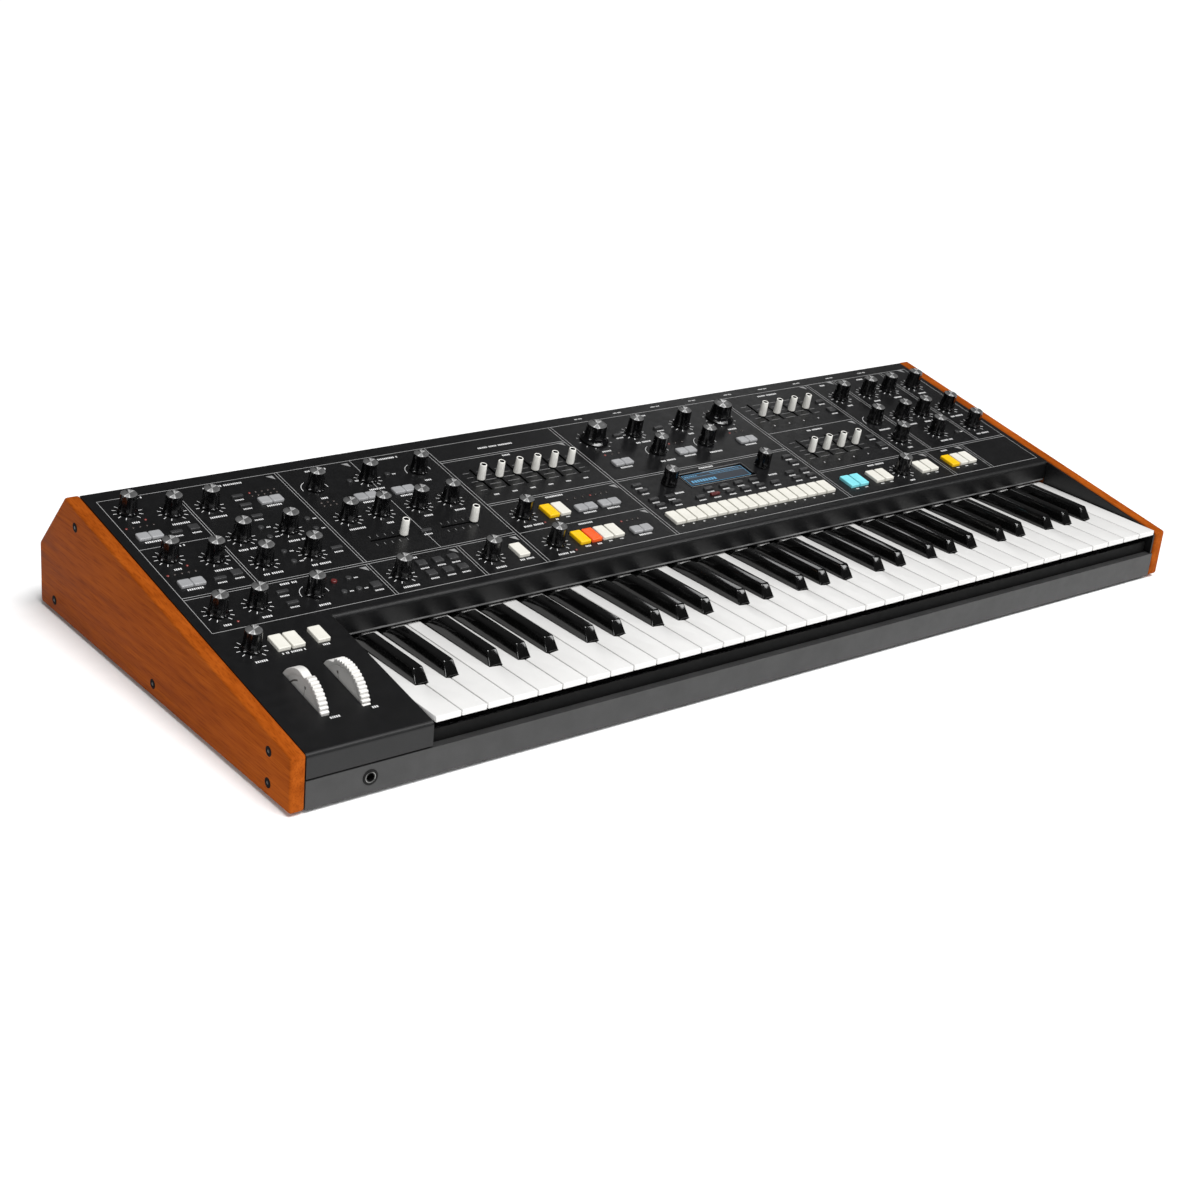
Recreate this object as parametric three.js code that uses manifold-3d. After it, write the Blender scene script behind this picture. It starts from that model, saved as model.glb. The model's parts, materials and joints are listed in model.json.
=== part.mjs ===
// A 61-key analogue synthesizer: wooden cheeks, a folded steel panel and pan, a keybed of combs,
// two performance wheels, and knobs, faders and buttons on a sloping control panel.
// Millimetres, +Z up, the player sits at -Y. The origin is on the floor at the middle of the case.

import * as THREE from "three";
import { mergeVertices } from "three/addons/utils/BufferGeometryUtils.js";
import Module from "manifold-3d";

const wasm = await Module();
wasm.setup();

// ---------- driving dimensions ----------
const CASE_WIDTH = 984;
const CASE_DEPTH = 417;
const FOOT_HEIGHT = 3;
const GAP = 0.35; // clearance between touching pieces

const CHEEK_THICKNESS = 12.5;
const CHEEK_FRONT_HEIGHT = 45.5;
const CHEEK_TOP_HEIGHT = 112.5;
const CHEEK_TOP_Y = 366.5;
const CHEEK_CHAMFER_HEIGHT = 54.5;
const CHEEK_EDGE_RADIUS = 3;

const SHEET = 2; // steel sheet thickness
const PANEL_DROP = 1; // panel surface below the cheek's sloping edge
const LIP_Y = 145; // front face of the folded lip over the keys
const LIP_BOTTOM_Z = 56.5;
const BLOCK_FRONT_Y = 0.6; // front face of the left-hand block and of the pan
const BLOCK_BOTTOM_Z = 28;
const PAN_TOP_Z = 26.4;
const BEND_RADIUS = 4;
const BEND_STEPS = 6;
const BEND_RUN = 3 * BEND_RADIUS; // the folded edge's strip of slope, before it joins the flat sheet
const REAR_INSET = 2; // rear panel in from the cheeks' rear edge

const HEADPHONE_HEIGHT = 12.9; // centre above the cheeks' underside
const HEADPHONE_HOLE_RADIUS = 6;
const REAR_SOCKETS = 6;
const REAR_SOCKET_PITCH = 40;
const REAR_SOCKET_RADIUS = 5;
const SOCKET_BORE_RADIUS = 3.3; // for a 6.35 mm plug
const REAR_CONNECTOR_HEIGHT = 28;
const INLET_X = -430;
const INLET_WIDTH = 27;
const INLET_HEIGHT = 20;

const KEY_PITCH = 23.5;
const WHITE_KEYS = 36;
const OCTAVES = 5;
const KEY_LEFT = -370.5; // left side of the lowest key
const KEY_GAP = 1;
const WHITE_TOP_Z = 51.6;
const WHITE_PLATE = 4.6;
const WHITE_PLATE_END = 150;
const WHITE_SLOT_FRONT = 50.4; // where a white key narrows beside a black one
const BLACK_FRONT_Y = 51.7;
const BLACK_TOP_Z = 63;
const BLACK_WIDTH = 12.4;
const BLACK_TOP_WIDTH = 8.8;
const BLACK_SLOT = 14;
const KEY_BODY_TOP_Z = WHITE_TOP_Z - WHITE_PLATE + GAP;
const KEY_BODY_BOTTOM_Z = 39;
const KEY_BODY_FRONT = 17;
const WHITE_FRONT_Y = 0.6;
const KEY_BODY_INSET = 1.2; // key body in from the sides of its plate

const WHEEL_RADIUS = 32.5;
const WHEEL_WIDTH = 7.2;
const WHEEL_CENTRE_Y = 68.8;
const WHEEL_CENTRE_Z = 44.2;
const WHEEL_BORE_RADIUS = 3.8;
const AXLE_RADIUS = 3;
const PITCH_WHEEL_X = KEY_LEFT - 71.2;
const MOD_WHEEL_X = KEY_LEFT - 36;

const KNOB_HEIGHT = 18;
const KNOB_RADIUS = 8;
const LARGE_KNOB_RADIUS = 12.5;
const SHAFT_RADIUS = 3;
const SHAFT_HOLE_RADIUS = 3.9;
const KNOB_LIFT = 1; // knobs clear the panel by this much
const FADER_HEIGHT = 16;
const FADER_RADIUS = 3.6;
const FADER_TRAVEL = 30;
const BUTTON_PITCH = 12.5;
const BUTTON_WIDTH = 11;
const BUTTON_LENGTH = 18.5;
const BUTTON_HEIGHT = 2.6;
const BUTTON_HOLE_GAP = 0.6;
const PAIR_BUTTON_PITCH = 11;
const PAIR_BUTTON_WIDTH = 10.5;
const PAIR_BUTTON_LENGTH = 8.8;
const BOARD_DEPTH = 13; // control board below the panel surface
const BOARD_THICKNESS = 1.6;

// ---------- derived places ----------
const BASE_Z = FOOT_HEIGHT; // underside of the cheeks
const INNER_X = CASE_WIDTH / 2 - CHEEK_THICKNESS;
const SLOPE = Math.atan2(CHEEK_TOP_HEIGHT - CHEEK_FRONT_HEIGHT, CHEEK_TOP_Y);
const PANEL_Z0 = BASE_Z + CHEEK_FRONT_HEIGHT - PANEL_DROP; // panel surface at y = 0
const KEY_RIGHT = KEY_LEFT + WHITE_KEYS * KEY_PITCH;
const PAN_BOTTOM_Z = BASE_Z + GAP;

const panelZ = (y) => PANEL_Z0 + y * Math.tan(SLOPE);
// Distance up the slope of a place that is y behind the case's front.
const upSlope = (y) => y / Math.cos(SLOPE);
const keyX = (x) => KEY_LEFT + x;

const HEADPHONE_X = keyX(-54.6);
const HEADPHONE_Z = BASE_Z + HEADPHONE_HEIGHT;
const REAR_SOCKET_FIRST_X = keyX(500);
const REAR_SOCKET_Z = BASE_Z + REAR_CONNECTOR_HEIGHT;
const INLET_Z = BASE_Z + REAR_CONNECTOR_HEIGHT;

// ---------- control layout, as distances from the lowest key's left side and up the slope ----------
const ROW = {
  top: upSlope(319.5),
  envelope: upSlope(283.3),
  second: upSlope(268),
  third: upSlope(230.5),
  arpeggio: upSlope(225.6),
  bottom: upSlope(178.2),
  glide: upSlope(127.8),
};
const LFO_RATE_X = -83.2;
const LFO_SHAPE_X = -49;
const FIXED_KNOBS = [
  ["lfo_1_rate", LFO_RATE_X, upSlope(331.4)],
  ["lfo_1_amount", LFO_SHAPE_X, ROW.top],
  ["lfo_2_rate", LFO_RATE_X, upSlope(259.1)],
  ["lfo_2_amount", LFO_SHAPE_X, upSlope(247.6)],
  ["pitch_lfo_rate", LFO_RATE_X, ROW.bottom],
  ["pitch_lfo_shape", LFO_SHAPE_X, ROW.bottom],
  ["pitch_lfo_amount", 2.2, ROW.bottom],
  ["mod_frequency", -15, ROW.top],
  ["mod_pitch", -14, ROW.second],
  ["mod_filter", 30, ROW.second],
  ["mod_width", -14, ROW.third],
  ["mod_volume", 30, ROW.third],
  ["oscillator_1_tune", 85.5, ROW.top],
  ["cross_modulation", 138.5, ROW.top],
  ["oscillator_2_tune", 191.2, ROW.top],
  ["oscillator_1_detune", 87.3, ROW.second],
  ["oscillator_1_width", 119.5, ROW.second],
  ["oscillator_2_detune", 158.2, ROW.second],
  ["oscillator_2_width", 190.8, ROW.second],
  ["macro", 83.5, ROW.bottom],
  ["arpeggio_clock", 240, ROW.arpeggio],
  ["sequencer_clock", 241, ROW.bottom],
  ["resonance_1", 437.4, ROW.top],
  ["envelope_1", 439.3, ROW.envelope],
  ["resonance_2", 497.5, ROW.top],
  ["envelope_2", 499.6, ROW.envelope],
  ["spread", 715, ROW.top],
  ["pan", 715.6, ROW.second],
  ["detune", 715.6, ROW.third],
  ["delay_time_left", 754.8, ROW.top],
  ["delay_time_right", 785.5, ROW.top],
  ["delay_feedback", 755.2, ROW.second],
  ["delay_character", 785.5, ROW.second],
  ["delay_mix", 769.5, ROW.third],
  ["phones_level", 823.4, ROW.second],
  ["assign_level", 823.8, ROW.third],
  ["voice_mix", 666.7, ROW.bottom],
];
const MOVING_KNOBS = [
  ["cutoff_knob_1", 389.3, ROW.top, LARGE_KNOB_RADIUS],
  ["cutoff_knob_2", 547.1, ROW.top, LARGE_KNOB_RADIUS],
  ["select_encoder", 410, ROW.third, KNOB_RADIUS - 1],
  ["value_encoder", 526.5, ROW.third, KNOB_RADIUS - 1],
  ["glide_knob", -82.2, ROW.glide, KNOB_RADIUS],
  ["tempo_knob", 172.4, ROW.bottom, KNOB_RADIUS],
  ["master_volume_knob", 822.5, ROW.top, KNOB_RADIUS],
];

const MIXER_X = 238;
const MIXER_PITCH = 20;
const MIXER_FADERS = 6;
const MIXER_V = upSlope(289.4);
const ENVELOPE_X = 598;
const ENVELOPE_FADERS = 4;
const ENVELOPE_SLOTS = [upSlope(318), upSlope(243.4)];
const ENVELOPE_REST = -6; // envelope fader caps stand this far below mid travel
const WAVE_MIX_X = [104, 175.4];
const WAVE_MIX_V = upSlope(231);
const FADER_SLOT_WIDTH = 2.4;
const FADER_STEM_WIDTH = 1.4;
const FADER_STEM_DEPTH = 4;

const BUTTON_ROW = ROW.bottom;
const ARP_BUTTON_ROW = upSlope(223.8);
const BLOCK_BUTTON_ROW = upSlope(127.1);
const MOVING_BUTTONS = [
  ["octave_down_button", -59, BLOCK_BUTTON_ROW, "white"],
  ["octave_up_button", -46.5, BLOCK_BUTTON_ROW, "white"],
  ["hold_button", -24.6, BLOCK_BUTTON_ROW, "white"],
  ["tap_tempo_button", 201.6, BUTTON_ROW, "white"],
  ["arpeggio_button", 266.6, ARP_BUTTON_ROW, "yellow"],
  ["sequencer_play_button", 267, BUTTON_ROW, "yellow"],
  ["sequencer_record_button", 279.5, BUTTON_ROW, "orange"],
];
// First button, how many stand side by side, and their row.
const FIXED_BUTTON_GROUPS = [
  [279.1, 1, ARP_BUTTON_ROW],
  [292, 2, BUTTON_ROW],
  [374.9, 16, BUTTON_ROW],
  [594.6, 2, BUTTON_ROW],
  [629, 2, BUTTON_ROW],
  [692.9, 2, BUTTON_ROW],
  [736.3, 3, BUTTON_ROW],
];
const BUTTON_PAIRS = [
  [-83, upSlope(292.6)],
  [-83, upSlope(221.4)],
  [38.6, upSlope(313.4)],
  [121, upSlope(294)],
  [159, upSlope(294)],
  [304, upSlope(219.4)],
  [330.6, upSlope(219.4)],
  [331, upSlope(172.9)],
  [390, upSlope(276)],
  [468, upSlope(276)],
  [546, upSlope(276)],
];
const DISPLAY = { x: 468, v: upSlope(229.8), width: 79, height: 22 };

// ---------- helpers ----------
function material(color, roughness, metalness = 0) {
  return new THREE.MeshStandardMaterial({ color, roughness, metalness });
}

const WOOD = () => material(0xb8641f, 0.5);
const BLACK_STEEL = () => material(0x1c1c1d, 0.55, 0.3);
const GREY_STEEL = () => material(0x8d8f92, 0.4, 0.8);
const KEY_WHITE = () => material(0xf1efe9, 0.3);
const KEY_BLACK = () => material(0x0a0a0b, 0.15);
const KNOB_BLACK = () => material(0x101011, 0.4);
const CAP_WHITE = () => material(0xe9e6dc, 0.45);
const BOARD_GREEN = () => material(0x1f4d33, 0.6);
const RUBBER = () => material(0x151515, 0.9);
const JACK_BLACK = () => material(0x18191a, 0.35, 0.5);
const INLET_BLACK = () => material(0x0f0f10, 0.5);
const GLASS = () => material(0x05070a, 0.1);
const BUTTON_COLOURS = {
  white: () => material(0xe9e6dc, 0.45),
  yellow: () => material(0xf5c518, 0.45),
  orange: () => material(0xf0622a, 0.45),
};

// A closed three.js geometry as a manifold solid.
function solid(geometry) {
  const bare = geometry.index ? geometry.toNonIndexed() : geometry.clone();
  bare.deleteAttribute("normal");
  bare.deleteAttribute("uv");
  const merged = mergeVertices(bare, 1e-4);
  return new wasm.Manifold(
    new wasm.Mesh({
      numProp: 3,
      vertProperties: merged.attributes.position.array,
      triVerts: new Uint32Array(merged.index.array),
    }),
  );
}

function geometryOf(made) {
  const mesh = made.getMesh();
  const stride = mesh.numProp;
  const positions = new Float32Array(mesh.numVert * 3);
  for (let i = 0; i < mesh.numVert; i++) {
    positions.set(mesh.vertProperties.subarray(i * stride, i * stride + 3), i * 3);
  }
  const geometry = new THREE.BufferGeometry();
  geometry.setAttribute("position", new THREE.BufferAttribute(positions, 3));
  geometry.setIndex(new THREE.BufferAttribute(mesh.triVerts, 1));
  const flat = geometry.toNonIndexed();
  flat.computeVertexNormals();
  return flat;
}

const join = (geometries) => geometries.map(solid).reduce((all, next) => all.add(next));
const cut = (body, geometries) => geometries.map(solid).reduce((all, next) => all.subtract(next), body);

function box(x0, x1, y0, y1, z0, z1) {
  const geometry = new THREE.BoxGeometry(x1 - x0, y1 - y0, z1 - z0);
  return geometry.translate((x0 + x1) / 2, (y0 + y1) / 2, (z0 + z1) / 2);
}

function centredBox(x, y, width, length, z0, z1) {
  return box(x - width / 2, x + width / 2, y - length / 2, y + length / 2, z0, z1);
}

// A flat outline of [x, y] points, from z0 up to z1.
function plate(outline, z0, z1) {
  const shape = new THREE.Shape(outline.map(([x, y]) => new THREE.Vector2(x, y)));
  const geometry = new THREE.ExtrudeGeometry(shape, { depth: z1 - z0, bevelEnabled: false });
  return geometry.translate(0, 0, z0);
}

// A side outline of [y, z] points, from x0 across to x1.
function profile(outline, x0, x1) {
  const geometry = plate(outline, 0, x1 - x0);
  const basis = new THREE.Matrix4().makeBasis(
    new THREE.Vector3(0, 1, 0),
    new THREE.Vector3(0, 0, 1),
    new THREE.Vector3(1, 0, 0),
  );
  return geometry.applyMatrix4(basis).translate(x0, 0, 0);
}

// An upright round bar at (x, y), with its own radius at the bottom and the top.
function bar(x, y, bottomRadius, topRadius, z0, z1, sides) {
  const geometry = new THREE.CylinderGeometry(topRadius, bottomRadius, z1 - z0, sides);
  return geometry.rotateX(Math.PI / 2).translate(x, y, (z0 + z1) / 2);
}

// A round bar along X or along Y.
function barAlongX(y, z, radius, x0, x1, sides) {
  const geometry = new THREE.CylinderGeometry(radius, radius, x1 - x0, sides);
  return geometry.rotateZ(Math.PI / 2).translate((x0 + x1) / 2, y, z);
}

function barAlongY(x, z, radius, y0, y1, sides) {
  const geometry = new THREE.CylinderGeometry(radius, radius, y1 - y0, sides);
  return geometry.translate(x, (y0 + y1) / 2, z);
}

function ring(x, y, radius, sides) {
  return Array.from({ length: sides }, (_, i) => {
    const angle = (2 * Math.PI * (i + 0.5)) / sides;
    return [x + radius * Math.cos(angle), y + radius * Math.sin(angle)];
  });
}

function rectangle(x, y, width, length) {
  const halfWidth = width / 2;
  const halfLength = length / 2;
  return [
    [x - halfWidth, y - halfLength],
    [x + halfWidth, y - halfLength],
    [x + halfWidth, y + halfLength],
    [x - halfWidth, y + halfLength],
  ];
}

// Points round a corner: the outline turns about the centre from one angle to another.
function arc(centreY, centreZ, radius, from, to, steps) {
  return Array.from({ length: steps + 1 }, (_, i) => {
    const angle = from + ((to - from) * i) / steps;
    return [centreY + radius * Math.cos(angle), centreZ + radius * Math.sin(angle)];
  });
}

const synthesizer = new THREE.Group();
const caseGroup = new THREE.Group();
caseGroup.position.y = -CASE_DEPTH / 2;
synthesizer.add(caseGroup);
// Local X across, local Y up the slope, local Z out of the panel.
const panelGroup = new THREE.Group();
panelGroup.position.z = PANEL_Z0;
panelGroup.rotation.x = SLOPE;
caseGroup.add(panelGroup);

function addNode(name, geometry, finish, group = caseGroup) {
  const mesh = new THREE.Mesh(geometry, finish);
  mesh.name = name;
  group.add(mesh);
  return mesh;
}

// ---------- case ----------
function cheekOutline() {
  const r = CHEEK_EDGE_RADIUS;
  const chamferTurn = 0.5;
  return [
    [r, BASE_Z],
    [CASE_DEPTH - r, BASE_Z],
    [CASE_DEPTH, BASE_Z + r],
    [CASE_DEPTH, BASE_Z + CHEEK_CHAMFER_HEIGHT - r],
    [CASE_DEPTH - r, BASE_Z + CHEEK_CHAMFER_HEIGHT + r],
    [CHEEK_TOP_Y + r, BASE_Z + CHEEK_TOP_HEIGHT - r],
    [CHEEK_TOP_Y - r, BASE_Z + CHEEK_TOP_HEIGHT - chamferTurn],
    [r, BASE_Z + CHEEK_FRONT_HEIGHT + chamferTurn],
    [0, BASE_Z + CHEEK_FRONT_HEIGHT - r],
    [0, BASE_Z + r],
  ];
}

function addCheeks() {
  const outer = CASE_WIDTH / 2;
  addNode("left_cheek", profile(cheekOutline(), -outer, -INNER_X), WOOD());
  addNode("right_cheek", profile(cheekOutline(), INNER_X, outer), WOOD());
}

// The front bend of a folded sheet: up a vertical face at frontY, round, and on up the slope.
function foldedProfile(frontY, bottomZ) {
  const rearY = frontY + BEND_RUN;
  const slopeTurn = Math.PI / 2 + SLOPE;
  const centreY = frontY + BEND_RADIUS;
  const centreZ = panelZ(centreY) - BEND_RADIUS / Math.cos(SLOPE);
  const outer = arc(centreY, centreZ, BEND_RADIUS, Math.PI, slopeTurn, BEND_STEPS);
  const inner = arc(centreY, centreZ, BEND_RADIUS - SHEET, slopeTurn, Math.PI, 1);
  const under = SHEET / Math.cos(SLOPE);
  return [
    [frontY, bottomZ],
    ...outer,
    [rearY, panelZ(rearY)],
    [rearY, panelZ(rearY) - under],
    ...inner,
    [frontY + SHEET, bottomZ],
  ];
}

function panelHoles() {
  const shaftHole = ([, x, v]) => ring(keyX(x), v, SHAFT_HOLE_RADIUS, 6);
  const slotLength = FADER_TRAVEL + 6;
  const upright = (x, v) => rectangle(keyX(x), v, FADER_SLOT_WIDTH, slotLength);
  const holes = [...FIXED_KNOBS, ...MOVING_KNOBS].map(shaftHole);
  for (let i = 0; i < MIXER_FADERS; i++) {
    holes.push(upright(MIXER_X + i * MIXER_PITCH, MIXER_V));
  }
  for (const v of ENVELOPE_SLOTS) {
    for (let i = 0; i < ENVELOPE_FADERS; i++) {
      holes.push(upright(ENVELOPE_X + i * MIXER_PITCH, v));
    }
  }
  for (const x of WAVE_MIX_X) {
    holes.push(rectangle(keyX(x), WAVE_MIX_V, slotLength, FADER_SLOT_WIDTH));
  }
  const margin = 2 * BUTTON_HOLE_GAP;
  for (const [, x, v] of MOVING_BUTTONS) {
    holes.push(rectangle(keyX(x), v, BUTTON_WIDTH + margin, BUTTON_LENGTH + margin));
  }
  for (const [x, count, v] of FIXED_BUTTON_GROUPS) {
    const span = (count - 1) * BUTTON_PITCH;
    const width = span + BUTTON_WIDTH + margin;
    holes.push(rectangle(keyX(x) + span / 2, v, width, BUTTON_LENGTH + margin));
  }
  for (const [x, v] of BUTTON_PAIRS) {
    const width = PAIR_BUTTON_PITCH + PAIR_BUTTON_WIDTH + margin;
    holes.push(rectangle(keyX(x), v, width, PAIR_BUTTON_LENGTH + margin));
  }
  holes.push(rectangle(keyX(DISPLAY.x), DISPLAY.v, DISPLAY.width, DISPLAY.height));
  return holes;
}

// Where a wheel's centre lies on the panel's own axes: up the slope, and below the surface.
function wheelOnPanel() {
  const rise = WHEEL_CENTRE_Z - PANEL_Z0;
  return {
    v: WHEEL_CENTRE_Y * Math.cos(SLOPE) + rise * Math.sin(SLOPE),
    depth: WHEEL_CENTRE_Y * Math.sin(SLOPE) - rise * Math.cos(SLOPE),
  };
}

function wheelSlots() {
  const { v, depth } = wheelOnPanel();
  const clearance = 0.8;
  const chord = 2 * Math.sqrt(WHEEL_RADIUS ** 2 - (depth - SHEET) ** 2);
  const size = [WHEEL_WIDTH + 2 * clearance, chord + 2 * clearance];
  return [PITCH_WHEEL_X, MOD_WHEEL_X].map((x) => rectangle(x, v, ...size));
}

function addTopPanel() {
  const left = -INNER_X + GAP;
  const right = INNER_X - GAP;
  const blockRight = KEY_LEFT - KEY_GAP;
  const rearY = CHEEK_TOP_Y - 1;
  const bendEnd = upSlope(LIP_Y) + 2 * BEND_RADIUS;
  const blockEnd = upSlope(BLOCK_FRONT_Y) + 2 * BEND_RADIUS;
  const rearV = upSlope(rearY);
  const sheetOutline = [
    [left, blockEnd],
    [blockRight, blockEnd],
    [blockRight, bendEnd],
    [right, bendEnd],
    [right, rearV],
    [left, rearV],
  ];
  const toCase = new THREE.Matrix4().makeRotationX(SLOPE).setPosition(0, 0, PANEL_Z0);
  const openings = [...panelHoles(), ...wheelSlots()];
  const cutters = openings.map((hole) => plate(hole, -SHEET - 1, 1).applyMatrix4(toCase));
  const sheet = plate(sheetOutline, -SHEET, 0).applyMatrix4(toCase);
  const blockBend = profile(foldedProfile(BLOCK_FRONT_Y, BLOCK_BOTTOM_Z), left, blockRight);
  const lipBend = profile(foldedProfile(LIP_Y, LIP_BOTTOM_Z), blockRight, right);
  const flangeTop = (y) => panelZ(y) - 0.5;
  const flangeEnd = LIP_Y + SHEET;
  const flangeFront = BLOCK_FRONT_Y + 0.5;
  const flangeRise = panelZ(flangeFront) - BEND_RADIUS;
  const flange = [
    [flangeFront, BLOCK_BOTTOM_Z],
    [flangeEnd, BLOCK_BOTTOM_Z],
    [flangeEnd, flangeTop(flangeEnd)],
    [flangeFront + BEND_RADIUS, flangeTop(flangeFront + BEND_RADIUS)],
    [flangeFront, flangeRise],
  ];
  const blockFlange = profile(flange, blockRight - SHEET, blockRight);
  const folded = join([sheet, blockBend, lipBend, blockFlange]);
  addNode("top_panel", geometryOf(cut(folded, cutters)), BLACK_STEEL());
}

function addBottomPan() {
  const left = -INNER_X + GAP;
  const right = INNER_X - GAP;
  const rear = CASE_DEPTH - REAR_INSET - SHEET - GAP;
  const front = BLOCK_FRONT_Y;
  const bottom = PAN_BOTTOM_Z;
  const flangeDepth = 7;
  const floor = box(left, right, front, rear, bottom, bottom + SHEET);
  const frontWall = box(left, right, front, front + SHEET, bottom, PAN_TOP_Z);
  const returnFlange = box(left, right, front, front + flangeDepth, PAN_TOP_Z - SHEET, PAN_TOP_Z);
  const leftWall = box(left, left + SHEET, front, rear, bottom, PAN_TOP_Z);
  const rightWall = box(right - SHEET, right, front, rear, bottom, PAN_TOP_Z);
  const pan = join([floor, frontWall, returnFlange, leftWall, rightWall]);
  const socketHole = barAlongY(HEADPHONE_X, HEADPHONE_Z, HEADPHONE_HOLE_RADIUS, -5, 5, 10);
  addNode("bottom_pan", geometryOf(cut(pan, [socketHole])), BLACK_STEEL());
}

function addHeadphoneJack() {
  const barrelRadius = 5;
  const front = BLOCK_FRONT_Y - 0.3;
  const bodyFront = BLOCK_FRONT_Y + SHEET + GAP;
  const bodyRear = bodyFront + 24;
  const halfBody = 7.5;
  const body = box(
    HEADPHONE_X - halfBody,
    HEADPHONE_X + halfBody,
    bodyFront,
    bodyRear,
    HEADPHONE_Z - halfBody,
    HEADPHONE_Z + halfBody,
  );
  const barrel = barAlongY(HEADPHONE_X, HEADPHONE_Z, barrelRadius, front, bodyFront + 1, 12);
  const bore = barAlongY(HEADPHONE_X, HEADPHONE_Z, SOCKET_BORE_RADIUS, front - 1, bodyRear - 3, 8);
  const jack = cut(join([body, barrel]), [bore]);
  addNode("headphone_jack", geometryOf(jack), JACK_BLACK());
}

// ---------- rear ----------
function addRearPanel() {
  const left = -INNER_X + GAP;
  const right = INNER_X - GAP;
  const rear = CASE_DEPTH - REAR_INSET;
  const chamferZ = BASE_Z + CHEEK_CHAMFER_HEIGHT;
  const underPanel = (y) => panelZ(y) - SHEET / Math.cos(SLOPE) - GAP;
  const chamferTopY = CHEEK_TOP_Y - 1;
  const run = rear - chamferTopY;
  const inner = SHEET * 1.2;
  const outline = [
    [rear, PAN_BOTTOM_Z],
    [rear, chamferZ],
    [chamferTopY, underPanel(chamferTopY)],
    [chamferTopY - 2 * inner, underPanel(chamferTopY - 2 * inner)],
    [chamferTopY - inner / 2, underPanel(chamferTopY) - inner],
    [rear - SHEET, chamferZ - (inner * SHEET) / run],
    [rear - SHEET, PAN_BOTTOM_Z],
  ];
  const sheet = solid(profile(outline, left, right));
  const through = 6; // the cutters reach this far either side of the rear face
  const clearance = 0.5;
  const holes = [];
  for (let i = 0; i < REAR_SOCKETS; i++) {
    const x = REAR_SOCKET_FIRST_X + i * REAR_SOCKET_PITCH;
    const holeRadius = REAR_SOCKET_RADIUS + clearance;
    holes.push(barAlongY(x, REAR_SOCKET_Z, holeRadius, rear - through, rear + through, 8));
  }
  const halfWidth = INLET_WIDTH / 2 + clearance;
  const halfHeight = INLET_HEIGHT / 2 + clearance;
  const inletHole = box(
    INLET_X - halfWidth,
    INLET_X + halfWidth,
    rear - through,
    rear + through,
    INLET_Z - halfHeight,
    INLET_Z + halfHeight,
  );
  holes.push(inletHole);
  addNode("rear_panel", geometryOf(cut(sheet, holes)), BLACK_STEEL());
}

function addJackBoard() {
  const rear = CASE_DEPTH - REAR_INSET;
  const boardRear = rear - SHEET - 12;
  const margin = 12;
  const lastX = REAR_SOCKET_FIRST_X + (REAR_SOCKETS - 1) * REAR_SOCKET_PITCH;
  const halfHeight = 11;
  const board = box(
    REAR_SOCKET_FIRST_X - margin,
    lastX + margin,
    boardRear - BOARD_THICKNESS,
    boardRear,
    REAR_SOCKET_Z - halfHeight,
    REAR_SOCKET_Z + halfHeight,
  );
  const barrels = [];
  const bores = [];
  for (let i = 0; i < REAR_SOCKETS; i++) {
    const x = REAR_SOCKET_FIRST_X + i * REAR_SOCKET_PITCH;
    barrels.push(barAlongY(x, REAR_SOCKET_Z, REAR_SOCKET_RADIUS, boardRear - 0.5, rear + 0.6, 8));
    bores.push(barAlongY(x, REAR_SOCKET_Z, SOCKET_BORE_RADIUS, boardRear + 1, rear + 6, 8));
  }
  addNode("rear_jack_board", geometryOf(cut(join([board, ...barrels]), bores)), BOARD_GREEN());
}

function addPowerInlet() {
  const rear = CASE_DEPTH - REAR_INSET;
  const depth = 22;
  const wall = 2;
  const halfWidth = INLET_WIDTH / 2;
  const halfHeight = INLET_HEIGHT / 2;
  const x0 = INLET_X - halfWidth;
  const x1 = INLET_X + halfWidth;
  const z0 = INLET_Z - halfHeight;
  const z1 = INLET_Z + halfHeight;
  const shell = solid(box(x0, x1, rear - depth, rear + 0.6, z0, z1));
  const mouth = box(x0 + wall, x1 - wall, rear - depth + wall, rear + 2, z0 + wall, z1 - wall);
  addNode("power_inlet", geometryOf(cut(shell, [mouth])), INLET_BLACK());
}

// ---------- keyboard ----------
// Where each black key's centre stands from the line between its two white neighbours.
const BLACK_KEYS = [
  { after: 1, shift: -2.2 },
  { after: 2, shift: 2.2 },
  { after: 4, shift: -4 },
  { after: 5, shift: 0 },
  { after: 6, shift: 4 },
];
const WHITE_PER_OCTAVE = 7;
const BLACK_TAIL_HALF = 4.5; // half the width of a black key's tail
const OUTER_COMB = [0, 2, 4, 6]; // C, E, G and B share a comb
const INNER_COMB = [1, 3, 5]; // D, F and A share a comb
const COMBS = {
  outer: { y0: 186, y1: 194, z0: KEY_BODY_BOTTOM_Z, z1: KEY_BODY_TOP_Z },
  inner: { y0: 170, y1: 178, z0: 26, z1: 31 },
  black: { y0: 158, y1: 168, z0: 50, z1: 55 },
};

const blackCentre = ({ after, shift }) => after * KEY_PITCH + shift;

// The x span of a white key's narrow part, between the slots of the black keys beside it.
function whiteStem(note, lastOfAll = false) {
  const half = BLACK_SLOT / 2;
  const below = BLACK_KEYS.find((key) => key.after === note);
  const above = BLACK_KEYS.find((key) => key.after === note + 1);
  const left = below ? blackCentre(below) + half : note * KEY_PITCH + KEY_GAP / 2;
  const openRight = lastOfAll || !above;
  const right = openRight ? (note + 1) * KEY_PITCH - KEY_GAP / 2 : blackCentre(above) - half;
  return [left, right];
}

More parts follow.
